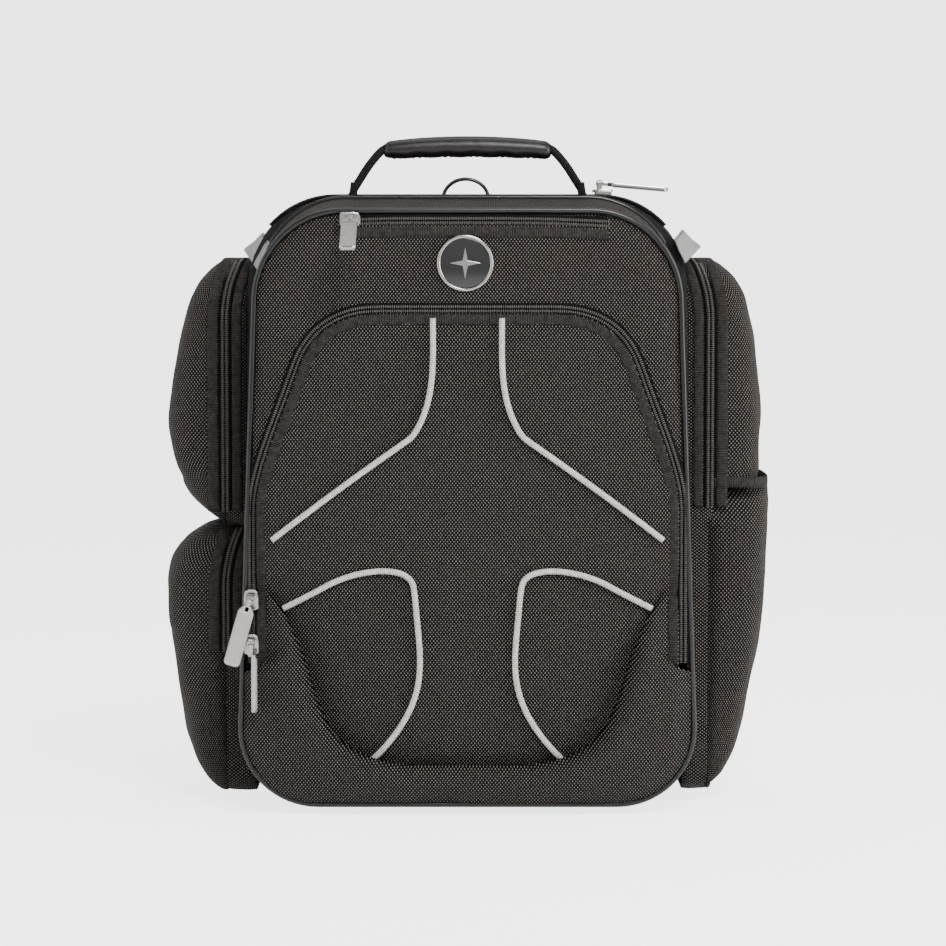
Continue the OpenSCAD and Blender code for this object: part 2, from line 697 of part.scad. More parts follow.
back_panel();
main_gusset();
bottom_board();
divider();
front_gusset();
front_panel();
front_piping();
body_piping();
bumper();
pocket_zip_outer();
pocket_binding_lower();
top_pocket_zip();
top_pocket_welt();
top_pocket_pouch();
badge_disc();
badge_enamel();
arch_piping_lower();
main_zip_front();
zip_tabs();
handle_anchors();
feet();
trolley_sleeve();
shoulder_straps();
strap_webbing();
ladder_locks();
left_upper_base();
left_lower_base();
right_base();
right_slip_pocket();
side_zips_fixed();
door_panel();
door_zip();
door_binding();
door_piping();
lid_panel();
lid_zip();
hang_loop();
handle_webbing();
handle_grip();
left_upper_flap();
left_upper_flap_zip();
left_lower_flap();
left_lower_flap_zip();
right_flap();
right_flap_zip();
pocket_slider_a();
pocket_pull_a();
pocket_slider_b();
pocket_pull_b();
top_slider();
top_pull();
main_slider();
main_pull();
left_upper_slider();
left_upper_pull();
left_lower_slider();
left_lower_pull();
right_slider();
right_pull();
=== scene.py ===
import bpy
import bmesh
import math
import numpy as np
from mathutils import Matrix, Vector


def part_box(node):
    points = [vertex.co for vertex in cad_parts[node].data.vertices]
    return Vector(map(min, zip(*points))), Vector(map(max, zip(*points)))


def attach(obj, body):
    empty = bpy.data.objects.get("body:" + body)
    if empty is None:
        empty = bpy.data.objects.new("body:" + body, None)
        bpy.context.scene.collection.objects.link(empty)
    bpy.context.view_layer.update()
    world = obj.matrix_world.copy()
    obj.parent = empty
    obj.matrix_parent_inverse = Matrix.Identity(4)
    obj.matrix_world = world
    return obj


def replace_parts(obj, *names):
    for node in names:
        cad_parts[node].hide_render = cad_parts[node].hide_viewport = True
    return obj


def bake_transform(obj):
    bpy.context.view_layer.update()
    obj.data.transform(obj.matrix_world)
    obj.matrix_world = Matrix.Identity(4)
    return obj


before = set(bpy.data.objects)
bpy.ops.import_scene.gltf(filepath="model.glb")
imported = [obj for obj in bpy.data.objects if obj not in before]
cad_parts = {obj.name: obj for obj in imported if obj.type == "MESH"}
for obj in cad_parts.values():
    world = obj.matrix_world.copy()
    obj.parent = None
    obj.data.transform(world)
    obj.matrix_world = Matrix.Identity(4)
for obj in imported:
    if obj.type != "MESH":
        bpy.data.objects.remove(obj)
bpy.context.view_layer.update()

# Everything below is worked out in millimetres, with y measured from the middle of the main compartment.
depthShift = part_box("front_panel")[0].y * 1000 + 99
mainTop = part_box("main_gusset")[1].z * 1000
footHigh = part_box("main_gusset")[0].z * 1000
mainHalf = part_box("main_gusset")[1].x * 1000
frontTop = mainTop - 10
frontHalf = mainHalf - 3
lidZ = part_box("lid_panel")[0].z * 1000
seamY = -44.3


# ---- curves and meshes ----

def arc(cx, cz, rx, rz, start, end, steps):
    a = np.radians(np.linspace(start, end, steps + 1))
    return np.stack([cx + rx * np.cos(a), cz + rz * np.sin(a)], 1)


def outline(half, lean, top, bottom, grow):
    # a closed upright outline, from the bottom right corner anticlockwise
    r, w, h = 52, 60, 62
    return np.concatenate([
        arc(half - r, bottom + r, r + grow, r + grow, -90, 0, 16),
        arc(half - lean - w, top - h, w + grow, h + grow, 0, 90, 22),
        arc(w + lean - half, top - h, w + grow, h + grow, 90, 180, 22),
        arc(r - half, bottom + r, r + grow, r + grow, 180, 270, 16)])


def frontOutline(grow):
    return outline(frontHalf, 10, frontTop, footHigh + 1.8, grow)


def mainOutline(grow):
    return outline(mainHalf, 6, mainTop, footHigh, grow)


def rimOutline(grow):
    # the main body's front edge, drawn in at the shoulders
    return outline(mainHalf - 1, 14, mainTop - 1.5, footHigh, grow)


def bezier(a, b, c, d, steps):
    a, b, c, d = (np.array(p, float) for p in (a, b, c, d))
    t = np.linspace(0, 1, steps + 1)[:, None]
    s = 1 - t
    return s ** 3 * a + 3 * s * s * t * b + 3 * s * t * t * c + t ** 3 * d


def respaced(points, step, closed=False):
    # the same path with even steps
    p = np.asarray(points, float)
    if closed:
        p = np.vstack([p, p[:1]])
    run = np.concatenate([[0], np.cumsum(np.linalg.norm(np.diff(p, axis=0), axis=1))])
    count = max(2, int(round(run[-1] / step)) + 1)
    at = np.linspace(0, run[-1], count)
    out = np.stack([np.interp(at, run, p[:, k]) for k in range(p.shape[1])], 1)
    return out[:-1] if closed else out


def eased(points, rounds=3, closed=False):
    # takes the corners off a path
    p = np.asarray(points, float).copy()
    for _ in range(rounds):
        if closed:
            p = (np.roll(p, 1, 0) + 2 * p + np.roll(p, -1, 0)) / 4
        else:
            p[1:-1] = (p[:-2] + 2 * p[1:-1] + p[2:]) / 4
    return p


def tangents(p, closed=False):
    t = np.roll(p, -1, 0) - np.roll(p, 1, 0) if closed else np.gradient(p, axis=0)
    return t / np.maximum(np.linalg.norm(t, axis=1, keepdims=True), 1e-9)


def edgeDistance(x, z, line):
    # how far each point lies from a closed line
    a, b = line, np.roll(line, -1, 0)
    d = b - a
    px, pz = np.ravel(x)[:, None], np.ravel(z)[:, None]
    t = ((px - a[:, 0]) * d[:, 0] + (pz - a[:, 1]) * d[:, 1]) / np.maximum((d ** 2).sum(1), 1e-9)
    t = np.clip(t, 0, 1)
    far = np.hypot(px - a[:, 0] - t * d[:, 0], pz - a[:, 1] - t * d[:, 1])
    return far.min(1).reshape(np.shape(x))


def ripple(x, z, size, seed=0.0):
    # gentle unevenness of cloth, the same every time
    return size * (np.sin(x / 23.0 + seed) * np.cos(z / 31.0 - seed * 2) * 0.5
                   + np.sin(x / 11.0 + z / 17.0 + seed * 3) * 0.3 + np.sin(x / 47.0 - z / 13.0 + seed) * 0.2)


def makeMesh(name, verts, faces, uv, material, smooth=True):
    co = np.asarray(verts, float).reshape(-1, 3).copy()
    co[:, 1] += depthShift
    me = bpy.data.meshes.new(name)
    me.from_pydata((co / 1000).tolist(), [], [list(map(int, f)) for f in faces])
    layer = me.uv_layers.new(name="UVMap")
    at = np.zeros(len(me.loops), np.int32)
    me.loops.foreach_get("vertex_index", at)
    layer.data.foreach_set("uv", np.asarray(uv, float).reshape(-1, 2)[at].astype(np.float32).ravel())
    me.polygons.foreach_set("use_smooth", [smooth] * len(me.polygons))
    me.materials.append(material)
    me.update()
    obj = bpy.data.objects.new(name, me)
    bpy.context.scene.collection.objects.link(obj)
    return obj


def gridFaces(rows, cols, wrapRows=False, wrapCols=False, flip=False):
    out = []
    for i in range(rows if wrapRows else rows - 1):
        for j in range(cols if wrapCols else cols - 1):
            a, b = i * cols + j, i * cols + (j + 1) % cols
            c, d = ((i + 1) % rows) * cols + (j + 1) % cols, ((i + 1) % rows) * cols + j
            out.append((a, d, c, b) if flip else (a, b, c, d))
    return out


def gridPiece(name, verts, uv, material, flip=False, **wraps):
    rows, cols = verts.shape[:2]
    return makeMesh(name, verts, gridFaces(rows, cols, flip=flip, **wraps), uv, material)


def turnedOut(obj):
    bm = bmesh.new()
    bm.from_mesh(obj.data)
    bmesh.ops.recalc_face_normals(bm, faces=bm.faces)
    bm.to_mesh(obj.data)
    bm.free()
    return obj


def sweep(name, path, cross, normal, profile, material, closed=False):
    # a closed profile of (across, out) pairs carried along a path
    path = np.asarray(path, float)
    n, m = len(path), len(profile)
    cross = np.broadcast_to(np.asarray(cross, float), path.shape)
    normal = np.broadcast_to(np.asarray(normal, float), path.shape)
    pr = np.asarray(profile, float)
    verts = path[:, None] + cross[:, None] * pr[None, :, :1] + normal[:, None] * pr[None, :, 1:]
    steps = np.linalg.norm(np.diff(path, axis=0), axis=1)
    run = np.concatenate([[0], np.cumsum(steps)])
    around = np.concatenate([[0], np.cumsum(np.linalg.norm(np.diff(pr, axis=0), axis=1))])
    uv = np.stack(np.broadcast_arrays(run[:, None], around[None, :]), -1)
    faces = gridFaces(n, m, wrapRows=closed, wrapCols=True)
    if not closed:
        faces += [list(range(m)), [(n - 1) * m + k for k in range(m - 1, -1, -1)]]
    return turnedOut(makeMesh(name, verts, faces, uv, material))


def inPlane(path2, closed=False):
    # sideways directions of a path in x and z; they point outwards on an anticlockwise path
    t = tangents(path2, closed)
    return np.stack([t[:, 1], np.zeros(len(t)), -t[:, 0]], 1)


def circle(r, sides=12, squash=1.0):
    a = np.linspace(0, 2 * math.pi, sides, endpoint=False)
    return np.stack([r * np.cos(a), r * squash * np.sin(a)], 1)


def strap(wide, thick, crown=0.4):
    # the cross-section of a tape with rounded edges
    w, t = wide / 2, thick
    return [(-w, 0), (-w, t * 0.7), (-w + crown, t), (-w / 3, t + crown * 0.3), (w / 3, t + crown * 0.3),
            (w - crown, t), (w, t * 0.7), (w, 0)]


def place(points2, y):
    p = np.asarray(points2, float)
    return np.stack([p[:, 0], np.broadcast_to(y, len(p)), p[:, 1]], 1)


def thicken(obj, thick, offset=-1):
    m = obj.modifiers.new("wall", "SOLIDIFY")
    m.thickness, m.offset = thick / 1000, offset
    return obj


# ---- materials ----

def newMaterial(name):
    mat = bpy.data.materials.new(name)
    mat.use_nodes = True
    nt = mat.node_tree
    return mat, nt, nt.nodes["Principled BSDF"]


def addMath(nt, kind, a, b=None, c=None):
    n = nt.nodes.new("ShaderNodeMath")
    n.operation = kind
    for k, v in enumerate((a, b, c)):
        if v is None:
            continue
        if isinstance(v, (int, float)):
            n.inputs[k].default_value = v
        else:
            nt.links.new(v, n.inputs[k])
    return n.outputs[0]


def rampOf(nt, value, low, high, at=(0.0, 1.0)):
    r = nt.nodes.new("ShaderNodeValToRGB")
    r.color_ramp.elements[0].position, r.color_ramp.elements[1].position = at
    r.color_ramp.elements[0].color = (*low, 1)
    r.color_ramp.elements[1].color = (*high, 1)
    nt.links.new(value, r.inputs[0])
    return r.outputs[0]


def noiseOf(nt, vector, scale, detail=2.0):
    n = nt.nodes.new("ShaderNodeTexNoise")
    n.inputs["Scale"].default_value = scale
    n.inputs["Detail"].default_value = detail
    nt.links.new(vector, n.inputs["Vector"])
    return n.outputs[0]


def bumpFrom(nt, shader, height, distance, strength=1.0):
    b = nt.nodes.new("ShaderNodeBump")
    b.inputs["Distance"].default_value = distance
    b.inputs["Strength"].default_value = strength
    nt.links.new(height, b.inputs["Height"])
    nt.links.new(b.outputs[0], shader.inputs["Normal"])


def splitCoords(nt, useUv, scale=1.0):
    tc = nt.nodes.new("ShaderNodeTexCoord")
    sep = nt.nodes.new("ShaderNodeSeparateXYZ")
    m = nt.nodes.new("ShaderNodeMapping")
    m.inputs["Scale"].default_value = (scale,) * 3
    nt.links.new(tc.outputs["UV" if useUv else "Object"], m.inputs["Vector"])
    nt.links.new(m.outputs[0], sep.inputs[0])
    return m.outputs[0], sep.outputs[0], sep.outputs[1], sep.outputs[2], tc.outputs["Object"]


# light is the colour of painted highlights on the thread floats; dark is the cloth between them
weave = {"across": 2.3, "up": 2.9, "dark": (0.0004, 0.0003, 0.0003), "light": (0.27, 0.235, 0.208),
         "roughness": 0.6, "bump": 0.0007, "sheen": 0.0}


def clothMaterial(name, useUv=True, dark=None, light=None, repeat=None):
    mat, nt, sh = newMaterial(name)
    vec, u, v, w, obj = splitCoords(nt, useUv, 1.0 if useUv else 1000.0)
    if not useUv:
        u = addMath(nt, "ADD", u, v)
        v = w
    size = repeat or weave["across"]
    rise = repeat or weave["up"]
    wobble = noiseOf(nt, vec, 0.35, 1.0)
    u = addMath(nt, "ADD", u, addMath(nt, "MULTIPLY", wobble, 0.5))
    a = addMath(nt, "SINE", addMath(nt, "MULTIPLY", u, 2 * math.pi / size))
    b = addMath(nt, "SINE", addMath(nt, "MULTIPLY", v, 2 * math.pi / rise))
    # the dots mark the thread floats: they raise the weave bump, and their lighter colour is a painted
    # highlight on the floats
    floatsAndGlints = addMath(nt, "MULTIPLY", a, b)
    threads = addMath(nt, "SINE", addMath(nt, "MULTIPLY", v, 2 * math.pi / 0.45))
    height = addMath(nt, "ADD", floatsAndGlints, addMath(nt, "MULTIPLY", threads, 0.12))
    mottled = noiseOf(nt, obj, 260.0, 3.0)
    tone = addMath(nt, "ADD", addMath(nt, "MULTIPLY", floatsAndGlints, 0.95), addMath(nt, "MULTIPLY", mottled, 0.2))
    colour = rampOf(nt, tone, dark or weave["dark"], light or weave["light"], (0.42, 1.15))
    nt.links.new(colour, sh.inputs["Base Color"])
    rough = addMath(nt, "ADD", addMath(nt, "MULTIPLY", mottled, 0.16), weave["roughness"] - 0.08)
    nt.links.new(rough, sh.inputs["Roughness"])
    sh.inputs["Sheen Weight"].default_value = weave["sheen"]
    sh.inputs["Sheen Roughness"].default_value = 0.5
    sh.inputs["Specular IOR Level"].default_value = 0.16
    bumpFrom(nt, sh, height, weave["bump"], 0.8)
    return mat


def ribMaterial(name, low, high, repeat, roughness, useUv=True, along=True, bump=0.0003, specular=0.3):
    # threads or ribs across a tape
    mat, nt, sh = newMaterial(name)
    vec, u, v, w, obj = splitCoords(nt, useUv, 1.0 if useUv else 1000.0)
    run = u if along else v
    other = v if along else u
    if not useUv:
        run, other = (w, addMath(nt, "ADD", u, v))
    ribs = addMath(nt, "SINE", addMath(nt, "MULTIPLY", run, 2 * math.pi / repeat))
    fine = addMath(nt, "SINE", addMath(nt, "MULTIPLY", other, 2 * math.pi / 0.9))
    height = addMath(nt, "ADD", ribs, addMath(nt, "MULTIPLY", fine, 0.25))
    mottled = noiseOf(nt, obj, 300.0, 3.0)
    tone = addMath(nt, "ADD", addMath(nt, "MULTIPLY", height, 0.3), mottled)
    nt.links.new(rampOf(nt, tone, low, high, (0.1, 0.9)), sh.inputs["Base Color"])
    nt.links.new(addMath(nt, "ADD", addMath(nt, "MULTIPLY", mottled, 0.2), roughness - 0.1),
                 sh.inputs["Roughness"])
    sh.inputs["Specular IOR Level"].default_value = specular
    bumpFrom(nt, sh, height, bump, 0.8)
    return mat


def smoothMaterial(name, colour, roughness, metal=0.0, grain=0.1, scale=400.0, bump=0.00005, coat=0.0):
    mat, nt, sh = newMaterial(name)
    vec, u, v, w, obj = splitCoords(nt, False)
    mottled = noiseOf(nt, obj, scale, 4.0)
    light = tuple(min(1.0, c * (1 + grain)) for c in colour)
    dark = tuple(c * (1 - grain) for c in colour)
    nt.links.new(rampOf(nt, mottled, dark, light, (0.3, 0.7)), sh.inputs["Base Color"])
    nt.links.new(addMath(nt, "ADD", addMath(nt, "MULTIPLY", mottled, roughness * 0.5), roughness * 0.75),
                 sh.inputs["Roughness"])
    sh.inputs["Metallic"].default_value = metal
    sh.inputs["Coat Weight"].default_value = coat
    sh.inputs["Coat Roughness"].default_value = 0.08
    bumpFrom(nt, sh, mottled, bump, 0.6)
    return mat


cloth = clothMaterial("ballisticCloth")
meshCloth = clothMaterial("paddedMesh", dark=(0.004, 0.004, 0.004), light=(0.035, 0.035, 0.036), repeat=3.4)
lining = clothMaterial("lining", useUv=False, dark=(0.02, 0.02, 0.021), light=(0.06, 0.06, 0.062), repeat=0.9)
board = smoothMaterial("stiffBoard", (0.05, 0.05, 0.05), 0.6, bump=0.0002)
pipingGloss = smoothMaterial("coatedPiping", (0.002, 0.002, 0.002), 0.3, scale=120.0, bump=0.0003, coat=0.15)
ribbon = ribMaterial("bindingRibbon", (0.004, 0.0036, 0.0032), (0.052, 0.046, 0.042), 1.15, 0.65,
                     specular=0.12)
tape = ribMaterial("zipTape", (0.001, 0.001, 0.001), (0.010, 0.009, 0.008), 0.8, 0.75, specular=0.08)
coil = smoothMaterial("zipCoil", (0.060, 0.054, 0.049), 0.35, bump=0.00002)
reflective = ribMaterial("reflectivePiping", (0.40, 0.38, 0.34), (0.86, 0.83, 0.77), 1.3, 0.45, bump=0.00025,
                         specular=0.5)
nickel = smoothMaterial("polishedNickel", (0.50, 0.485, 0.465), 0.2, metal=1.0, grain=0.06, bump=0.00002)
enamel = smoothMaterial("blackEnamel", (0.005, 0.005, 0.005), 0.12, grain=0.05, coat=0.8)
silver = ribMaterial("silverCloth", (0.17, 0.165, 0.16), (0.36, 0.35, 0.34), 1.0, 0.4, bump=0.0001,
                     specular=0.6)
webbing = ribMaterial("webbing", (0.001, 0.001, 0.001), (0.014, 0.013, 0.012), 1.6, 0.6, specular=0.15)
leather = smoothMaterial("gripLeather", (0.0052, 0.0036, 0.0032), 0.4, grain=0.5, scale=260.0, bump=0.0004)
thread = ribMaterial("thread", (0.01, 0.01, 0.01), (0.06, 0.058, 0.055), 0.5, 0.6, useUv=False)
rubber = smoothMaterial("footRubber", (0.016, 0.016, 0.016), 0.6, bump=0.0001)
moulded = smoothMaterial("mouldedPlastic", (0.014, 0.014, 0.014), 0.4, bump=0.0001)
print("materials made")


# ---- repeated small shapes by Geometry Nodes ----

def rowOf(name, path, spacing, size, material, fixedAxis, fixedVector):
    # small rounded bits along a path: size is (along, across, out) in mm;
    # one axis is held to a fixed direction
    co = np.asarray(path, float).copy()
    co[:, 1] += depthShift
    line = bpy.data.meshes.new(name + "Line")
    line.from_pydata((co / 1000).tolist(), [(k, k + 1) for k in range(len(co) - 1)], [])
    obj = bpy.data.objects.new(name, line)
    bpy.context.scene.collection.objects.link(obj)
    tree = bpy.data.node_groups.new(name + "Row", "GeometryNodeTree")
    face = tree.interface
    face.new_socket("Geometry", in_out="INPUT", socket_type="NodeSocketGeometry")
    spacingIn = face.new_socket("Spacing", in_out="INPUT", socket_type="NodeSocketFloat")
    sizeIn = face.new_socket("Size", in_out="INPUT", socket_type="NodeSocketVector")
    face.new_socket("Geometry", in_out="OUTPUT", socket_type="NodeSocketGeometry")
    add, link = tree.nodes.new, tree.links.new
    start, end = add("NodeGroupInput"), add("NodeGroupOutput")
    curve, even = add("GeometryNodeMeshToCurve"), add("GeometryNodeCurveToPoints")
    even.mode = "LENGTH"
    bit, inst = add("GeometryNodeMeshUVSphere"), add("GeometryNodeInstanceOnPoints")
    bit.inputs["Segments"].default_value, bit.inputs["Rings"].default_value = 8, 4
    bit.inputs["Radius"].default_value = 0.5
    along, hold = add("FunctionNodeAlignRotationToVector"), add("FunctionNodeAlignRotationToVector")
    tangent = add("GeometryNodeInputTangent")
    kept = add("GeometryNodeCaptureAttribute")
    kept.capture_items.new("VECTOR", "Tangent")
    along.axis, hold.axis, hold.pivot_axis = "X", fixedAxis, "X"
    hold.inputs["Vector"].default_value = fixedVector
    whole, smooth = add("GeometryNodeRealizeInstances"), add("GeometryNodeSetShadeSmooth")
    paint = add("GeometryNodeSetMaterial")
    paint.inputs["Material"].default_value = material
    link(start.outputs["Geometry"], curve.inputs[0])
    link(curve.outputs[0], kept.inputs[0])
    link(tangent.outputs[0], kept.inputs[1])
    link(kept.outputs[0], even.inputs["Curve"])
    link(start.outputs["Spacing"], even.inputs["Length"])
    link(even.outputs["Points"], inst.inputs["Points"])
    link(kept.outputs[1], along.inputs["Vector"])
    link(along.outputs[0], hold.inputs["Rotation"])
    link(hold.outputs[0], inst.inputs["Rotation"])
    link(bit.outputs["Mesh"], inst.inputs["Instance"])
    link(start.outputs["Size"], inst.inputs["Scale"])
    link(inst.outputs[0], whole.inputs[0])
    link(whole.outputs[0], smooth.inputs[0])
    link(smooth.outputs[0], paint.inputs[0])
    link(paint.outputs[0], end.inputs[0])
    mod = obj.modifiers.new("row", "NODES")
    mod.node_group = tree
    mod[spacingIn.identifier] = spacing / 1000
    mod[sizeIn.identifier] = tuple(s / 1000 for s in size)
    done = bpy.data.meshes.new_from_object(obj.evaluated_get(bpy.context.evaluated_depsgraph_get()))
    obj.modifiers.clear()
    obj.data = done
    return obj


zipSizes = {"tooth": (1.15, 2.7, 1.3), "pitch": 1.45, "rowOut": 1.45, "tapeWide": 3.9, "tapeThick": 0.7}


def zipRow(name, path, cross, normal, side, fixedAxis, fixedVector, body):
    # one half of a zip: its tape and its coil
    path = np.asarray(path, float)
    cross = np.broadcast_to(np.asarray(cross, float), path.shape)
    normal = np.broadcast_to(np.asarray(normal, float), path.shape)
    mid = path + cross * side * (0.35 + zipSizes["tapeWide"] / 2)
    band = sweep(name + "Tape", mid, cross, normal, strap(zipSizes["tapeWide"], zipSizes["tapeThick"]), tape)
    teeth = rowOf(name + "Coil", path + cross * side * zipSizes["rowOut"] + normal * 1.1, zipSizes["pitch"],
                  zipSizes["tooth"], coil, fixedAxis, fixedVector)
    for o in (band, teeth):
        if body:
            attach(o, body)
    return band, teeth


# ---- the front ----

front = {"plane": -99.0, "bulge": 6.5, "edgeCurl": 6.5, "curlWide": 17.0, "ripple": 0.7, "pocketPuff": 3.2,
         "valleySink": 7.0,
         "zipTop": frontTop - 65.5, "zipLeg": frontHalf - 8, "zipEnd": 106.0, "centre": (0.0, 200.0)}
frontLine = frontOutline(0)


def zipLine(grow=0.0, low=None):
    top, leg, low = front["zipTop"], front["zipLeg"], front["zipEnd"] if low is None else low
    half = np.concatenate([
        [[leg, low]],
        bezier([leg, 208], [leg, 232], [126, top - 69.5], [116, top - 39.5], 14),
        bezier([115.9, top - 39.2], [108, top - 15.5], [90, top], [60, top], 12), [[0, top]]])
    line = np.concatenate([half, (half * [-1, 1])[-2::-1]])
    line = eased(respaced(line, 2.5), 4)
    t = tangents(line)
    return line + grow * np.stack([t[:, 1], -t[:, 0]], 1)


zipClosed = np.concatenate([zipLine(0, 60), bezier([-front["zipLeg"], 60], [-front["zipLeg"], 16],
                                                     [front["zipLeg"], 16], [front["zipLeg"], 60], 40)[1:-1]])


# the line where the lower rim's padding starts
bumperSizes = {"high": 14.0, "armTop": 151.0, "armIn": 134.5, "ripple": 0.9}
valley = np.concatenate([[[bumperSizes["armIn"] - 1, bumperSizes["armTop"]]],
                         bezier([127, 143], [112, 122], [106, 95], [101, 80], 12),
                         bezier([97, 69], [86, 44], [66, 38], [40, 35], 14), [[0, 34.5]]])
valley = np.concatenate([valley, (valley * [-1, 1])[-2::-1]])
valley = eased(respaced(valley, 3.0), 5)
valleyClosed = np.concatenate([valley, [[-400, 151], [-400, -400], [400, -400], [400, 151]]])


def frontDepth(x, z, puffed=False):
    x, z = np.asarray(x, float), np.asarray(z, float)
    d = edgeDistance(x, z, frontLine)
    curl = front["edgeCurl"] * (1 - np.clip(d / front["curlWide"], 0, 1)) ** 2
    swell = np.clip(1 - (x / frontHalf) ** 2, 0, 1) * np.clip(1 - ((z - 195) / 215) ** 2, 0, 1)
    y = front["plane"] - front["bulge"] * swell ** 0.7 + curl - ripple(x, z, front["ripple"])
    if puffed:
        e = edgeDistance(x, z, zipClosed)
        y = y - front["pocketPuff"] * (1 - np.exp(-e / 9.0))
        v = edgeDistance(x, z, valleyClosed)
        y = y + front["valleySink"] * np.exp(-v / 11.0)
    return y


def rayReach(line, angles, centre):
    # how far a ray from the centre goes to a line, for each angle
    p = respaced(line, 1.5) - centre
    a = np.unwrap(np.arctan2(p[:, 1], p[:, 0]))
    r = np.hypot(p[:, 0], p[:, 1])
    order = np.argsort(a)
    return np.interp(angles, a[order], r[order])


def frontField(inner, outer, angles, steps):
    centre = np.array(front["centre"])
    rays = np.stack([np.cos(angles), np.sin(angles)], 1)
    r0 = rayReach(inner, angles, centre)
    r1 = rayReach(outer, angles, centre)
    t = np.linspace(0, 1, steps)
    r = r0[:, None] + (r1 - r0)[:, None] * t
    flat = centre + rays[:, None] * r[..., None]
    y = frontDepth(flat[..., 0], flat[..., 1])
    verts = np.stack([flat[..., 0], y, flat[..., 1]], -1)
    return verts, flat


def startFeet(line):
    c = np.array(front["centre"])
    a = np.unwrap(np.arctan2(line[:, 1] - c[1], line[:, 0] - c[0]))
    return a[0], a[-1]


lowAngle, highAngle = startFeet(zipLine(3.2, 100))
angles = np.linspace(lowAngle, highAngle, 260)
verts, flat = frontField(zipLine(3.2, 95), frontOutline(-0.8), angles, 34)
panel = gridPiece("frontPanel", verts, flat, cloth)
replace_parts(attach(thicken(turnedOut(panel), 2.5), "bag"), "front_panel")

around = np.linspace(0, 2 * math.pi, 320, endpoint=False) - math.pi / 2
pocketEdge = np.concatenate([zipLine(-3.0, 60), bezier([-front["zipLeg"] + 3, 60], [-front["zipLeg"] + 3, 16],
                                                        [front["zipLeg"] - 3, 16], [front["zipLeg"] - 3, 60],
                                                        40)[1:-1]])
pocketAngles = np.linspace(-math.pi, math.pi, 321)[:-1]
c = np.array(front["centre"])
pocketEdge = respaced(pocketEdge, 1.5, True)
edgeA = np.arctan2(pocketEdge[:, 1] - c[1], pocketEdge[:, 0] - c[0])
edgeR = np.hypot(*(pocketEdge - c).T)
order = np.argsort(edgeA)
reach = np.interp(pocketAngles, edgeA[order], edgeR[order], period=2 * math.pi)
t = np.linspace(0, 1, 64)
flat = c + np.stack([np.cos(pocketAngles), np.sin(pocketAngles)],
                    1)[:, None] * (reach[:, None] * t)[..., None]
verts = np.stack([flat[..., 0], frontDepth(flat[..., 0], flat[..., 1], True), flat[..., 1]], -1)
pocket = gridPiece("pocketPanel", verts, flat, cloth, wrapRows=True)
bm = bmesh.new()
bm.from_mesh(pocket.data)
bmesh.ops.remove_doubles(bm, verts=bm.verts, dist=1e-6)
bm.to_mesh(pocket.data)
bm.free()
turnedOut(pocket)
if pocket.data.polygons[2000].normal.y > 0:
    pocket.data.flip_normals()
if panel.data.polygons[2000].normal.y > 0:
    panel.data.flip_normals()
thicken(pocket, 2.5)
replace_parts(pocket, "door_panel")
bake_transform(pocket)
print("front panels made")

# the padded rim round the lower front
rim = frontOutline(-1.0)
rim = np.concatenate([rim[63:], rim[:17]])
rim = rim[rim[:, 1] < 94]
arm = np.array([[bumperSizes["armIn"], bumperSizes["armTop"] + 1], [bumperSizes["armIn"], 106], [143, 100],
                [frontHalf - 1, 97]])
rim = np.concatenate([arm, rim[::-1], (arm * [-1, 1])[::-1]])
rim = respaced(rim, 3.0)
rows = 240
share = np.linspace(0, 1, rows)
valleyAt = np.stack([np.interp(share, np.linspace(0, 1, len(valley)), valley[:, k]) for k in (0, 1)], 1)
rimAt = np.stack([np.interp(share, np.linspace(0, 1, len(rim)), rim[:, k]) for k in (0, 1)], 1)
s = np.linspace(0, 1, 30)
flat = valleyAt[:, None] * (1 - s[None, :, None]) + rimAt[:, None] * s[None, :, None]
wide = np.linalg.norm(rimAt - valleyAt, axis=1)[:, None]
fromValley = s[None, :] * wide
puff = bumperSizes["high"] * (1 - np.exp(-fromValley / 4.5)) * (1 - 0.8 * s[None, :] ** 1.5)
ends = np.clip(np.minimum(share, 1 - share)[:, None] * rows / 14.0, 0, 1) ** 0.5
puff = puff * ends * np.clip(wide / 40, 0.25, 1) - 0.6
puff = puff + ripple(flat[..., 0] * 1.7, flat[..., 1] * 1.9, bumperSizes["ripple"], 2.0)
verts = np.stack([flat[..., 0], frontDepth(flat[..., 0], flat[..., 1]) - puff, flat[..., 1]], -1)
bumper = gridPiece("bumper", verts, flat, cloth)
turnedOut(bumper)
if bumper.data.polygons[3000].normal.y > 0:
    bumper.data.flip_normals()
thicken(bumper, 2.0)
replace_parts(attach(bumper, "bag"), "bumper")
print("bumper made")

# glossy pipings at the front's edge and between the front and the main body
pipingSizes = {"front": 2.0, "body": 1.7}
line = respaced(frontOutline(-0.2), 3.0, True)
path = place(line, front["plane"] + 3.4)
frontPiping = sweep("frontPiping", path, inPlane(line, True), (0, -1, 0), circle(pipingSizes["front"], 12),
                    pipingGloss, True)
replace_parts(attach(frontPiping, "bag"), "front_piping")
line = respaced(rimOutline(0.6), 3.0, True)
bodyPiping = sweep("bodyPiping", place(line, -65.0), inPlane(line, True), (0, -1, 0),
                   circle(pipingSizes["body"], 12), pipingGloss, True)
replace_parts(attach(bodyPiping, "bag"), "body_piping")


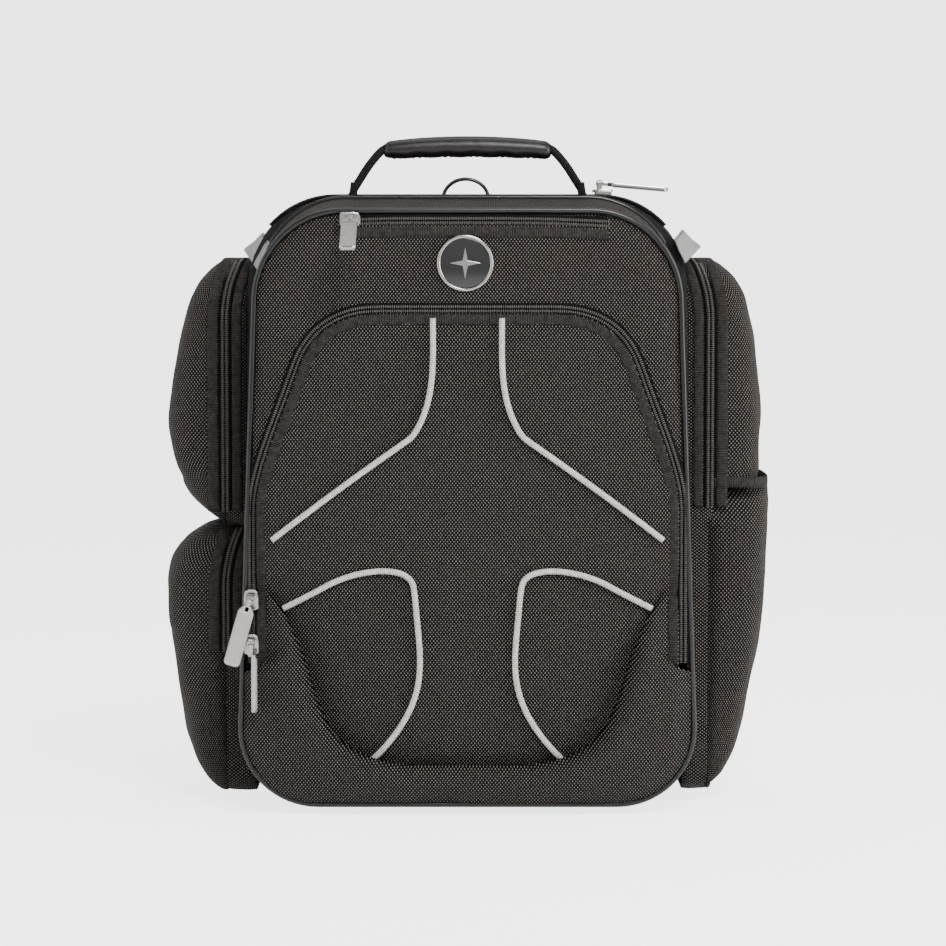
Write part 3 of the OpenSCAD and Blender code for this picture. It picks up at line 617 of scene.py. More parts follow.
def gusset(name, line, y0, y1, swell, wall, closed, body, *nodes):
    # a band of cloth round the bag: bowed outside, flat inside
    ys = np.linspace(y0, y1, 12)
    bow = swell * np.sin(np.pi * (ys - y0) / (y1 - y0)) ** 0.6
    mid = (y0 + y1) / 2
    profile = [(y - mid, b - 0.4) for y, b in zip(ys, bow)] + [(y1 - mid, -wall), (y0 - mid, -wall)]
    line = respaced(line, 4.0, closed)
    out = inPlane(line, closed)
    obj = sweep(name, place(line, mid), (0, 1, 0), out, profile, cloth, closed)
    wrinkle = np.array([v.co for v in obj.data.vertices]) * 1000
    push = ripple(wrinkle[:, 0] + wrinkle[:, 1], wrinkle[:, 2], 0.5, 1.0)
    pushOut = np.repeat(out, len(profile), 0) * push[:, None] / 1000
    obj.data.vertices.foreach_set("co", (wrinkle / 1000 + pushOut).ravel())
    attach(obj, body)
    if nodes:
        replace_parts(obj, *nodes)
    return obj


def cutAt(line, z, upper):
    # the part of a closed outline above or below a height, as one open path
    line = respaced(line, 2.0, True)
    keep = line[:, 1] > z if upper else line[:, 1] < z
    first = next(k for k in range(len(line)) if keep[k] and not keep[k - 1])
    line, keep = np.roll(line, -first, 0), np.roll(keep, -first)
    return line[keep]


def loftedRim(name, first, second, y0, y1, swell, wall, node):
    # a closed band of cloth between two outlines that lie one behind the other
    def fine(line):
        k = np.linspace(0, len(line), len(line) * 4 + 1)[:-1]
        ring = np.vstack([line, line[:1]])
        return np.stack([np.interp(k, np.arange(len(ring)), ring[:, c]) for c in (0, 1)], 1)
    a, b = fine(first), fine(second)
    out = inPlane(b, True)
    t = np.linspace(0, 1, 9)
    outer = np.stack([place(a * (1 - k) + b * k,
                            y0 + (y1 - y0) * k) + out * swell * math.sin(math.pi * k) ** 0.7
                      for k in t], 1)
    inner = np.stack([place(b, y1) - out * wall, place(a, y0) - out * wall], 1)
    verts = np.concatenate([outer, inner], 1)
    run = np.concatenate([[0], np.cumsum(np.linalg.norm(np.diff(b, axis=0), axis=1))])
    across = np.concatenate([t * abs(y1 - y0), [abs(y1 - y0) + wall, 2 * abs(y1 - y0)]])
    uv = np.stack(np.broadcast_arrays(run[:, None], across[None, :]), -1)
    o = turnedOut(gridPiece(name, verts, uv, cloth, wrapRows=True, wrapCols=True))
    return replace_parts(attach(o, "bag"), node)


loftedRim("frontGusset", frontOutline(0), rimOutline(0), -95.5, -66.5, 0.6, 3, "front_gusset")
loftedRim("mainRim", rimOutline(0), mainOutline(0), -63.4, -48.2, 0.6, 3, "main_gusset")
gusset("mainGusset", cutAt(mainOutline(0), lidZ, False), -48.2, 63, 2.4, 3, False, "bag")
gusset("lidGusset", cutAt(mainOutline(0), lidZ + 0.6, True), -40.6, 63, 1.6, 3, False, "lid", "lid_panel")

# back panel: upright padded channels, and the part of it that belongs to the lid
backSizes = {"rear": 71.0, "padHigh": 3.0}


def widthAt(line, z):
    right = line[line[:, 0] > 0]
    o = np.argsort(right[:, 1])
    return np.interp(z, right[o, 1], right[o, 0])


def backField(name, z0, z1, body, *nodes):
    line = respaced(mainOutline(-0.5), 1.5, True)
    zs = np.linspace(z0, z1, max(8, int((z1 - z0) / 4)))
    xs = np.sin(np.linspace(-math.pi / 2, math.pi / 2, 80))
    x = widthAt(line, zs)[:, None] * xs
    z = np.broadcast_to(zs[:, None], x.shape)
    d = edgeDistance(x, z, mainOutline(0))
    pads = np.abs(np.sin(np.pi * (x + 140) / 70)) ** 0.35 * (np.clip(d, 0, 14) / 14)
    y = backSizes["rear"] - 5 * (1 - np.clip(d / 9, 0, 1)) ** 2
    y = y + backSizes["padHigh"] * (pads - 0.6) + ripple(x, z, 0.5)
    outer = np.stack([x, y, z], -1)
    inner = np.stack([x, np.full_like(y, 63.3), z], -1)
    verts = np.concatenate([outer, inner])
    rows, cols = x.shape
    faces = gridFaces(rows, cols) + [tuple(k + rows * cols for k in f)
                                     for f in gridFaces(rows, cols, flip=True)]
    edge = [(i, 0) for i in range(rows)] + [(rows - 1, j) for j in range(1, cols)]
    edge += [(i, cols - 1) for i in range(rows - 2, -1, -1)] + [(0, j) for j in range(cols - 2, 0, -1)]
    ids = [i * cols + j for i, j in edge]
    faces += [(ids[k], ids[(k + 1) % len(ids)], ids[(k + 1) % len(ids)] + rows * cols, ids[k] + rows * cols)
              for k in range(len(ids))]
    uv = np.concatenate([np.stack([x, z], -1)] * 2)
    obj = turnedOut(makeMesh(name, verts, faces, uv, meshCloth))
    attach(obj, body)
    if nodes:
        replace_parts(obj, *nodes)


backField("backPanel", footHigh + 0.3, lidZ, "bag", "back_panel")
backField("lidBack", lidZ + 0.5, mainTop - 0.6, "lid")
print("gussets and back made")

# ---- zips ----

line = zipLine(0, front["zipEnd"] - 2)
y = frontDepth(line[:, 0], line[:, 1]) + 0.4
path = place(line, y)
side = inPlane(line)
outerBand, _ = zipRow("pocketZipOuter", path, side, (0, -1, 0), 1, "Z", (0, -1, 0), "bag")
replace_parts(outerBand, "pocket_zip_outer")
innerBand, innerTeeth = zipRow("pocketZipInner", path, side, (0, -1, 0), -1, "Z", (0, -1, 0), None)
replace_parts(innerBand, "door_zip")

ribbonSizes = {"wide": 7.0, "thick": 1.5, "wave": 0.35}
ribbonLine = zipLine(-(3.6 + ribbonSizes["wide"] / 2), front["zipEnd"] - 4)
y = frontDepth(ribbonLine[:, 0], ribbonLine[:, 1], True) + 0.5
wave = ribbonSizes["wave"] * np.sin(np.arange(len(ribbonLine)) * 0.9)
binding = sweep("zipBinding", place(ribbonLine, y - wave), inPlane(ribbonLine), (0, -1, 0),
                strap(ribbonSizes["wide"], ribbonSizes["thick"], 0.8), ribbon)
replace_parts(binding, "door_binding", "pocket_binding_lower")
for o in (innerBand, innerTeeth, binding):
    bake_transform(o)

# top pocket zip, with a ribbon under it
topZip = {"left": -86.0, "right": 96.0, "z": frontTop - 6, "ribbonWide": 7.0}
xs = np.arange(topZip["left"], topZip["right"] + 1, 3.0)
sag = topZip["z"] - 0.9 - 2.2 * np.clip((xs - 20) / 76, 0, 1) ** 2 - 1.6 * np.clip((-40 - xs) / 46, 0, 1) ** 2
line = np.stack([xs, sag], 1)
y = frontDepth(line[:, 0], line[:, 1]) + 0.3
up = np.array((0, 0, 1.0))
tops = zipRow("topZipUpper", place(line, y), up, (0, -1, 0), 1, "Z", (0, -1, 0), "bag")
zipRow("topZipLower", place(line, y), up, (0, -1, 0), -1, "Z", (0, -1, 0), "bag")
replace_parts(tops[0], "top_pocket_zip")
line2 = line - [0, 3.6 + topZip["ribbonWide"] / 2]
welt = sweep("topRibbon", place(line2, frontDepth(line2[:, 0], line2[:, 1]) + 0.2), up, (0, -1, 0),
             strap(topZip["ribbonWide"], 1.6, 0.8), ribbon)
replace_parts(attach(welt, "bag"), "top_pocket_welt")


# the top opening's zip, one half on the fixed rim and one on the lid
line = eased(cutAt(mainOutline(0.2), lidZ + 0.5, True), 2)
path = place(line, seamY)
outward = inPlane(line)
across = np.array((0, 1.0, 0))
rim, _ = zipRow("mainZipRim", path, across, outward, -1, "Y", (0, 1, 0), "bag")
lidHalf, _ = zipRow("mainZipLid", path, across, outward, 1, "Y", (0, 1, 0), "lid")
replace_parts(rim, "main_zip_front")
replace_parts(lidHalf, "lid_zip")
for n, y0, body in (("rimRibbon", seamY - 8.5, "bag"), ("lidRibbon", seamY + 8.5, "lid")):
    o = sweep(n, place(line, y0), across, outward, strap(6, 1.3, 0.7), ribbon)
    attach(o, body)

# silver tabs at the ends of the top zip, slanting out over the side pockets' tops
tabCorners = {"L": ((-140, -36, 393), (-134.5, -70, 386), (-142.5, -70, 367.5), (-153.5, -40, 381)),
              "R": ((147, -36, 395), (140, -70, 388.5), (147.5, -70, 372), (160, -40, 383))}
for n, corners in tabCorners.items():
    p1, p2, p3, p4 = (np.array(q, float) for q in corners)
    u, v = np.meshgrid(np.linspace(0, 1, 14), np.linspace(0, 1, 14), indexing="ij")
    u, v = u[..., None], v[..., None]
    verts = (p1 * (1 - u) + p2 * u) * (1 - v) + (p4 * (1 - u) + p3 * u) * v
    crown = np.sin(math.pi * u) * np.sin(math.pi * v) * 1.2 + 0.25 * np.sin(v * 9)
    verts = verts + crown * np.array([np.sign(p1[0]) * 0.6, -0.3, 0.7])
    uv = np.concatenate([u * 26, v * 20], -1)
    o = turnedOut(gridPiece("silverTab" + n, verts, uv, silver))
    if o.data.polygons[80].normal.z < 0:
        o.data.flip_normals()
    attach(thicken(o, 1.0), "bag")
    if n == "L":
        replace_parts(o, "zip_tabs")
    edge = [p1 + (p4 - p1) * 0.12, p2 + (p3 - p2) * 0.12]
    stitches = rowOf("tabStitches" + n, [edge[0] + (edge[1] - edge[0]) * k + np.array([0, -0.3, 1.0])
                                         for k in np.linspace(0.05, 0.95, 8)],
                     3.4, (2.2, 0.6, 0.6), thread, "Z", (0, 0, 1))
    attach(stitches, "bag")
print("zips made")

# ---- reflective piping ----

archSizes = {"r": 2.0, "sink": 0.5}
top = front["zipTop"]
archUpper = np.concatenate([bezier([23, top - 6], [23, 304], [21, 279], [37, 256], 24),
                            bezier([39.5, 254.3], [60, 240], [90, 219], [131, 187], 16)])
archLower = np.concatenate([bezier([64, 38], [22, 82], [32, 104], [35, 148], 24),
                            bezier([36.3, 158], [40, 171], [75, 169], [98, 154.4], 16), [[124, 140.5]]])
for sideSign in (-1, 1):
    for n, pts in (("Upper", archUpper), ("Lower", archLower)):
        line = eased(respaced(pts * [sideSign, 1], 1.6), 5)
        y = frontDepth(line[:, 0], line[:, 1], True) + archSizes["sink"] - archSizes["r"]
        o = sweep("arch" + n + ("L" if sideSign < 0 else "R"), place(line, y), inPlane(line), (0, -1, 0),
                  circle(archSizes["r"], 10), reflective)
        if n == "Upper":
            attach(o, "door")
        else:
            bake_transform(o)
        if sideSign < 0:
            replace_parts(o, "door_piping" if n == "Upper" else "arch_piping_lower")
print("arches made")


# ---- badge ----

badge = {"x": -1.5, "z": frontTop - 35, "r": 18.9}


def lathed(name, profile, centre, material, sides=64):
    # profile of (radius, out) turned about an axis that points to the front
    a = np.linspace(0, 2 * math.pi, sides, endpoint=False)
    pr = np.asarray(profile, float)
    x = centre[0] + pr[None, :, 0] * np.cos(a)[:, None]
    z = centre[2] + pr[None, :, 0] * np.sin(a)[:, None]
    y = centre[1] - np.broadcast_to(pr[None, :, 1], x.shape)
    verts = np.stack([x, y, z], -1)
    rows, cols = x.shape
    faces = gridFaces(rows, cols, wrapRows=True)
    if pr[0, 0] < 0.5:
        faces.append([i * cols for i in range(rows)])
    if pr[-1, 0] < 0.5:
        faces.append([i * cols + cols - 1 for i in range(rows)])
    return turnedOut(makeMesh(name, verts, faces, np.stack([x, z], -1), material))


by = float(frontDepth(badge["x"], badge["z"])) + 0.8
r = badge["r"]
ring = lathed("badgeRing", [(0.2, -0.5), (r, -0.5), (r, 2.6), (r - 0.5, 3.2), (r - 1.5, 3.3), (r - 2.1, 2.9),
                            (r - 2.3, 2.2), (0.2, 2.2)], (badge["x"], by, badge["z"]), nickel)
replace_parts(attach(ring, "bag"), "badge_disc")
face = lathed("badgeFace", [(0.2, 1.9), (r - 2.2, 1.9), (r - 2.2, 2.45), (r - 2.8, 2.62), (0.2, 2.7)],
              (badge["x"], by, badge["z"]), enamel)
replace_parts(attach(face, "bag"), "badge_enamel")


def plate(name, pts, y0, y1, material, bevel=0.3, transform=None):
    # a flat outline in x and z made thick from y0 to y1, with bevelled edges
    n = len(pts)
    verts = [(p[0], y0, p[1]) for p in pts] + [(p[0], y1, p[1]) for p in pts]
    faces = [list(range(n)), list(range(2 * n - 1, n - 1, -1))] + [(k, (k + 1) % n, (k + 1) % n + n, k + n)
                                                                   for k in range(n)]
    return solid(name, verts, faces, material, bevel, transform)


def solid(name, verts, faces, material, bevel, transform=None):
    co = np.asarray(verts, float)
    if transform is not None:
        co = np.array([transform @ Vector(p) for p in co])
    o = makeMesh(name, co, faces, co[:, [0, 2]], material, False)
    turnedOut(o)
    if bevel:
        b = o.modifiers.new("edge", "BEVEL")
        b.width, b.segments, b.limit_method = bevel / 1000, 2, "ANGLE"
    return o


star = [((badge["r"] * (0.56 if k % 2 == 0 else 0.13)) * math.cos(k * math.pi / 4) + badge["x"],
         (badge["r"] * (0.56 if k % 2 == 0 else 0.13)) * math.sin(k * math.pi / 4) + badge["z"])
         for k in range(8)]
o = plate("badgeStar", star, by - 3.1, by - 2.2, nickel, 0.15)
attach(o, "bag")
print("badge made")

# ---- sliders and pulls ----

pullSizes = {"long": 47.0, "wide": 11.0, "thick": 2.6, "pinOut": 6.5, "pinUp": 2.0}


def joined(name, parts):
    # several plain pieces as one mesh, bevels applied
    dg = bpy.context.evaluated_depsgraph_get()
    bm = bmesh.new()
    mats = []
    for p in parts:
        me = bpy.data.meshes.new_from_object(p.evaluated_get(dg))
        mats.append(p.data.materials[0])
        bm.from_mesh(me)
    out = bpy.data.meshes.new(name)
    bm.to_mesh(out)
    bm.free()
    out.materials.append(mats[0])
    for p in parts:
        bpy.data.objects.remove(p)
    o = bpy.data.objects.new(name, out)
    bpy.context.scene.collection.objects.link(o)
    return o


def boxPart(name, lo, hi, material, bevel, transform):
    (x0, y0, z0), (x1, y1, z1) = lo, hi
    pts = [(x0, z0), (x1, z0), (x1, z1), (x0, z1)]
    return plate(name, pts, y0, y1, material, bevel, transform)


def sliderAt(name, m, turn, body):
    # local frame: chain front at y = 0, travel along z, outwards is -y
    t = m @ Matrix.Rotation(math.radians(turn), 4, "Y") if turn else m
    shape = [(-4.6, -6.2), (-2.9, -7), (2.9, -7), (4.6, -6.2), (4.9, 1), (4.2, 5.6), (1.6, 7), (-1.6, 7),
             (-4.2, 5.6), (-4.9, 1)]
    parts = [plate("a", shape, -2.6, -0.6, nickel, 0.5, t)]
    for s0 in (-1, 1):
        lip = [(s0 * 4.9, -6), (s0 * 3.95, -6.4), (s0 * 3.95, 5.4), (s0 * 4.9, 2)]
        parts.append(plate("b", lip, -1.6, 1.3, nickel, 0.25, t))
        parts.append(boxPart("c", (min(s0 * 2.5, s0 * 3.6), -8.0, 0.3), (max(s0 * 2.5, s0 * 3.6), -2.2, 3.7),
                             nickel, 0.35, m))
    a = np.linspace(0, 2 * math.pi, 14, endpoint=False)
    ends = [(x, -6.5 + 1.1 * math.cos(k), 2 + 1.1 * math.sin(k)) for x in (-3.4, 3.4) for k in a]
    n = len(a)
    faces = [list(range(n)), list(range(2 * n - 1, n - 1, -1))] + [(k, (k + 1) % n, (k + 1) % n + n, k + n)
                                                                   for k in range(n)]
    parts.append(solid("d", ends, faces, nickel, 0, m))
    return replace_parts(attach(joined(name, parts), body), body)


def pullAt(name, m, lean, out, aside, edge, lift, body):
    g = pullSizes
    base = m @ Matrix.Translation((0, -g["pinOut"],
                                   g["pinUp"])) @ Matrix.Rotation(math.radians(-lift), 4, "X")
    tilt = base @ Matrix.Rotation(math.radians(-lean), 4, "Y")
    tag = tilt @ Matrix.Translation((aside, -out, 0))
    if edge:
        tag = tag @ Matrix.Rotation(math.radians(90), 4, "Z")
    w, t = g["wide"] / 2, g["thick"] / 2
    parts = [boxPart("a", (-1.6, -out - t, -9.5), (1.6, t, -1.4), nickel, 0.4, tilt)]
    a = np.linspace(0, 2 * math.pi, 16, endpoint=False)
    n = len(a)
    hoop = [(x, rr * math.cos(k), rr * math.sin(k)) for x,
            rr in ((-2.2, 1.45), (-2.2, 2.6), (2.2, 2.6), (2.2, 1.45)) for k in a]
    faces = [(i * n + k, i * n + (k + 1) % n, ((i + 1) % 4) * n + (k + 1) % n, ((i + 1) % 4) * n + k)
             for i in range(4) for k in range(n)]
    parts.append(solid("b", hoop, faces, nickel, 0, base))
    shape = [(-2.6, -5.4), (-w + 0.9, -8.0), (-w, -9.8), (-w, -g["long"] + 2.2), (-w + 2.2, -g["long"]),
             (w - 2.2, -g["long"]), (w, -g["long"] + 2.2), (w, -9.8), (w - 0.9, -8.0), (2.6, -5.4)]
    parts.append(plate("c", shape, -t, t, nickel, 0.6, tag))
    # a raised rim round a plain sunk field on each face
    for s0 in (-1, 1):
        y0, y1 = sorted((s0 * t * 0.9, s0 * (t + 0.35)))
        for lo, hi in (((-w + 0.5, -g["long"] + 1.2), (-w + 1.6, -9.6)),
                       ((w - 1.6, -g["long"] + 1.2), (w - 0.5, -9.6)),
                       ((-w + 1.2, -g["long"] + 0.6), (w - 1.2, -g["long"] + 1.8)),
                       ((-w + 1.4, -11.2), (w - 1.4, -9.6))):
            parts.append(boxPart("e", (lo[0], y0, lo[1]), (hi[0], y1, hi[1]), nickel, 0.15, tag))
    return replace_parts(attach(joined(name, parts), body), body)


def centreOf(node):
    lo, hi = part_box(node)
    return (lo + hi) * 500


def hardAt(x, y, z, *turns):
    m = Matrix.Translation((x, y, z))
    for angle, axis in turns:
        m = m @ Matrix.Rotation(math.radians(angle), 4, axis)
    return m


chainFront = front["plane"] - 3.5
leg = -front["zipLeg"]
za = centreOf("pocket_slider_a").z
zb = centreOf("pocket_slider_b").z
m = hardAt(leg, chainFront, za)
sliderAt("sliderA", m, 0, "pocket_slider_a")
pullAt("pullA", m, -16, 6.2, 0, False, 0, "pocket_pull_a")
m = hardAt(leg, chainFront, zb)
sliderAt("sliderB", m, 0, "pocket_slider_b")
pullAt("pullB", m, 0, 3, 2.4, True, 0, "pocket_pull_b")
m = hardAt(-78, chainFront, topZip["z"])
sliderAt("topSlider", m, 90, "top_slider")
pullAt("topPull", m, 0, 0, 0, False, 63, "top_pull")
m = hardAt(92, seamY - 0.15, mainTop + 2.5, (90, "Z"), (-90, "X"))
sliderAt("mainSlider", m, 0, "main_slider")
pullAt("mainPull", m, 0, 0, 0, False, -5, "main_pull")
sideSeam = mainHalf + 10
for n, sx, z in (("left_upper", -1, 212), ("left_lower", -1, 115), ("right", 1, 212)):
    m = hardAt(sx * sideSeam, 58.5, z, (180, "Z"))
    sliderAt(n.replace("_u", "U").replace("_l", "L") + "Slider", m, 0, n + "_slider")
    pullAt(n.replace("_u", "U").replace("_l", "L") + "Pull", m, 0, 0, 0, False, 0, n + "_pull")
print("sliders and pulls made")

# ---- side pockets ----

sidePockets = {"half": 53.0, "middle": 3.0, "cornerR": 30.0, "power": 4.2, "ripple": 1.3}


def pocketHalf(z, z0, z1, bottomR=10.0):
    # half depth of a side pocket at each height: round corners at the top, smaller ones below
    h, r = sidePockets["half"], sidePockets["cornerR"]
    z = np.asarray(z, float)
    up = np.clip((z - (z1 - r)) / r, 0, 1)
    down = np.clip(((z0 + bottomR) - z) / bottomR, 0, 1)
    return h - r * (1 - np.sqrt(1 - up ** 2)) - bottomR * (1 - np.sqrt(1 - down ** 2))


def leanIn(z, z1):
    # how far a side zip leans towards the body near its top
    return 9.0 * np.clip((np.asarray(z, float) - (z1 - 42)) / 42, 0, 1) ** 2


def pillow(name, sx, depthPoints, z0, z1, seam, seed, bottomR=10.0, folds=()):
    # the outer skin of a side pocket: depthPoints are (height, distance beyond the body)
    pts = np.array(depthPoints, float)
    zs = np.concatenate([z0 + (z1 - z0) * 0.5 * (1 - np.cos(np.linspace(0, math.pi, 70)))])
    deep = np.interp(zs, pts[:, 0], pts[:, 1]) + mainHalf - seam
    for _ in range(3):
        deep[1:-1] = (deep[:-2] + deep[1:-1] * 2 + deep[2:]) / 4
    half = pocketHalf(zs, z0, z1, bottomR)
    a = np.linspace(0, math.pi, 64)
    k = 2 / sidePockets["power"]
    ca, sa = np.cos(a), np.abs(np.sin(a)) ** k
    sa[0] = sa[-1] = 0
    across = np.sign(ca) * np.abs(ca) ** k
    y = sidePockets["middle"] - half[:, None] * across[None]
    out = np.maximum(deep, 0.4)[:, None] * sa[None]
    z = np.broadcast_to(zs[:, None], y.shape)
    crease = ripple(y * 1.6, z * 1.8, sidePockets["ripple"], seed) * np.clip(out / 25, 0, 1)
    for fz, fd in folds:
        crease = crease - fd * np.exp(-((z - fz - (y - 3) * 0.08) / 2.6) ** 2) * np.clip(out / 20, 0, 1)
    x = sx * (seam - leanIn(z, z1) * (1 - sa[None]) + out + crease)
    verts = np.stack([x, y, z], -1)
    girth = np.concatenate([[0], np.cumsum(np.hypot(np.diff(y[35]), np.diff(x[35])))])
    uv = np.stack([np.broadcast_to(girth, y.shape), z], -1)
    o = gridPiece(name, verts, uv, cloth, flip=(sx < 0))
    return thicken(o, 2.2)


def sideLoop(z0, z1, grow, bottomR=10.0, openBelow=None):
    zs = np.linspace(z0, z1, 90)
    half = pocketHalf(zs, z0, z1, bottomR) + grow
    mid = sidePockets["middle"]
    right = np.stack([mid - half, zs], 1)
    left = np.stack([mid + half, zs], 1)[::-1]
    loop = np.concatenate([right, left])
    if openBelow is None:
        return respaced(loop, 3.0, True)
    return respaced(loop[loop[:, 1] > openBelow], 2.5)


def yzPath(loop, x):
    return np.stack([x - np.sign(x) * leanIn(loop[:, 1], loop[:, 1].max()), loop[:, 0], loop[:, 1]], 1)


def yzOut(loop, closed=False):
    t = tangents(loop, closed)
    n = np.stack([np.zeros(len(t)), -t[:, 1], t[:, 0]], 1)
    mid = loop.mean(0)
    good = ((loop - mid) * n[:, 1:]).sum() > 0
    return n if good else -n


def sideStrip(name, sx, z0, z1, inner, seam, bottomR, *nodes):
    loop = sideLoop(z0, z1, 0, bottomR)
    w = seam + 2 - inner
    w2 = sx * w / 2
    profile = [(-w2, 0), (-w2 / 2, 0.5), (0, 0.3), (w2 / 2, 0), (w2, -0.6), (w2, -2.5), (-w2, -2.5)]
    o = sweep(name, yzPath(loop, sx * (inner + w / 2)), (1, 0, 0), yzOut(loop, True), profile, cloth, True)
    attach(o, "bag")
    if nodes:
        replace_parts(o, *nodes)


def sideZip(name, sx, z0, z1, fold, seam, flapNode, bottomR, first):
    loop = sideLoop(z0, z1, 0.3, bottomR, fold - 21)
    out = yzOut(loop)
    path = yzPath(loop, sx * seam)
    across = np.array((sx * 1.0, 0, 0))
    fixedHalf, _ = zipRow(name + "ZipFixed", path, across, out, -1, "Y", (1, 0, 0), "bag")
    movedHalf, movedTeeth = zipRow(name + "ZipFlap", path, across, out, 1, "Y", (1, 0, 0), None)
    ribbonIn = sweep(name + "RibbonFixed", yzPath(loop, sx * (seam - 8.0)), across, out, strap(6.5, 1.3, 0.7),
                     ribbon)
    ribbonOut = sweep(name + "RibbonFlap", yzPath(loop, sx * (seam + 8.5)), across, out - across * 0.25,
                      strap(7.5, 1.5, 0.8), ribbon)
    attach(ribbonIn, "bag")
    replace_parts(movedHalf, flapNode)
    if first:
        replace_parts(fixedHalf, "side_zips_fixed")
    for o in (movedHalf, movedTeeth, ribbonOut):
        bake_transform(o)


topZ = 374.0
leftUpper = [(190, 8), (196, 16), (203, 27), (212, 37), (223, 43), (240, 50), (262, 52), (300, 47), (325, 43),
             (345, 37), (360, 30), (370, 20), (376, 10)]
leftLower = [(3, 6), (6, 14), (14, 24), (27, 33), (45, 40), (95, 48), (126, 52), (152, 54), (168, 50),
             (180, 42), (190, 26), (193, 10)]
rightAll = [(4, 0), (10, 8), (18, 20), (36, 31), (57, 36), (90, 44), (118, 48), (150, 51), (205, 54),
            (222, 53), (262, 48),
            (300, 45), (325, 42), (350, 36), (364, 28), (372, 18), (377, 8)]
o = pillow("leftUpperPocket", -1, leftUpper, 192, topZ + 1.5, sideSeam, 0.4, 12, ((228, 1.1),))
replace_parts(o, "left_upper_flap", "left_upper_base")
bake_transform(o)
o = pillow("leftLowerPocket", -1, leftLower, 7, 191.5, sideSeam, 1.7, 14, ((120, 0.5),))
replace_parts(o, "left_lower_flap", "left_lower_base")
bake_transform(o)
sideStrip("leftUpperStrip", -1, 192, topZ, mainHalf - 6, sideSeam, 12)
sideStrip("leftLowerStrip", -1, 7, 190, mainHalf - 10, sideSeam, 14)
sideZip("leftUpper", -1, 192, topZ, 223, sideSeam, "left_upper_flap_zip", 12, True)
sideZip("leftLower", -1, 7, 190, 126, sideSeam, "left_lower_flap_zip", 14, False)
base = [(z, d - (5 if z > 60 else 5 * z / 60)) for z, d in rightAll if z < 222] + [(222, 48)]
upper = [(221, 46)] + [(z, d) for z, d in rightAll if z > 222]
o = pillow("rightPocketFlap", 1, [(222, 46)] + [p for p in rightAll if p[0] > 226], 223, topZ + 1.5, sideSeam,
           2.3, 2, ((228, 1.2),))
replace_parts(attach(o, "right_flap"), "right_flap")
o = pillow("rightPocketFoot", 1, [(4, 0), (10, 6), (18, 15), (36, 22), (100, 27), (150, 30), (223, 32)], 8,
           222.6, sideSeam, 3.1, 12)
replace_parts(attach(o, "bag"), "right_base")
o = pillow("rightSlipPocket", 1, [p for p in rightAll if p[0] < 223], 9, 222.0, sideSeam, 3.9, 14)
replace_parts(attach(o, "bag"), "right_slip_pocket")
sideStrip("rightStrip", 1, 8, topZ, mainHalf - 8, sideSeam, 14)
sideZip("right", 1, 8, topZ, 223, sideSeam, "right_flap_zip", 14, False)

# the bound edge of the slip pocket
a = np.linspace(0, math.pi, 60)
k = 2 / sidePockets["power"]
edge = np.stack([sideSeam + 41.5 * np.abs(np.sin(a)) ** k,
                 3 - 53 * np.sign(np.cos(a)) * np.abs(np.cos(a)) ** k, np.full(60, 221.8)], 1)
flatT = tangents(edge)
o = sweep("slipBinding", edge, (0, 0, 1), np.stack([flatT[:, 1], -flatT[:, 0], flatT[:, 2] * 0], 1),
          strap(7, 1.2, 0.6), ribbon)
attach(o, "bag")
print("side pockets made")

# ---- handle ----

handle = {"y": -57.0, "anchor": 74.0, "barZ": mainTop + 6.5, "gripZ": mainTop + 31.5, "gripLong": 113.0,
          "gripR": 7.4, "middle": 0.0}
h = handle
for n, sx in (("L", -1), ("R", 1)):
    # the webbing comes up from the bar in an S and lies under the grip
    half = np.concatenate([bezier([h["anchor"] + 1, h["barZ"] - 3], [h["anchor"] - 7, h["barZ"] + 9],
                                  [h["gripLong"] / 2 + 9, h["gripZ"] - 11],
                                  [h["gripLong"] / 2 - 2, h["gripZ"] - 0.5], 18),
                           [[h["gripLong"] / 2 - 16, h["gripZ"] - 1.5],
                            [h["gripLong"] / 2 - 34, h["gripZ"] - 1.0]]])
    line = eased(respaced(half * [sx, 1], 2.0), 3)
    o = sweep("handleWebbing" + n, place(line, h["y"]), (0, 1, 0), inPlane(line) * sx, strap(11, 5.0, 1.2),
              webbing)
    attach(o, "handle")
    if n == "L":
        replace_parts(o, "handle_webbing")
    foot = [(sx * (h["anchor"] + 3), mainTop - 3), (sx * (h["anchor"] + 1), mainTop + 2),
            (sx * h["anchor"], h["barZ"] + 2.6)]
    foot = respaced(foot, 1.5)
    o = sweep("handleFoot" + n, place(foot, h["y"]), (0, 1, 0), inPlane(foot) * sx, strap(13, 5.0, 1.0),
              webbing)
    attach(o, "bag")
    if n == "L":
        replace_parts(o, "handle_anchors")
xs = np.linspace(-1, 1, 60)
arch = 2.4 * (1 - xs ** 2)
girth = h["gripR"] * (0.84 + 0.26 * np.sqrt(np.clip(1 - xs ** 2, 0, 1)))
girth[0], girth[-1] = girth[0] * 0.72, girth[-1] * 0.72
girth[1], girth[-2] = girth[1] * 0.93, girth[-2] * 0.93
a = np.linspace(0, 2 * math.pi, 24, endpoint=False)
x = np.broadcast_to((xs * h["gripLong"] / 2)[:, None], (60, 24))
y = h["y"] + girth[:, None] * np.cos(a) * 1.1
z = h["gripZ"] - 0.8 + arch[:, None] + girth[:, None] * np.sin(a) * np.where(np.sin(a) < 0, 0.8, 0.95)
z = z + 0.35 * np.sin(x * 0.33) * (np.sin(a) < -0.2)
verts = np.stack([x, y, z], -1)
uv = np.stack([x, np.broadcast_to(a * 7, x.shape)], -1)
faces = gridFaces(60, 24, wrapCols=True) + [list(range(24)), [59 * 24 + k for k in range(23, -1, -1)]]
grip = turnedOut(makeMesh("grip", verts, faces, uv, leather))
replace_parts(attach(grip, "handle"), "handle_grip")
line = np.stack([xs * (h["gripLong"] / 2 - 3), h["gripZ"] - 0.8 + arch - girth * 0.72 - 0.5], 1)
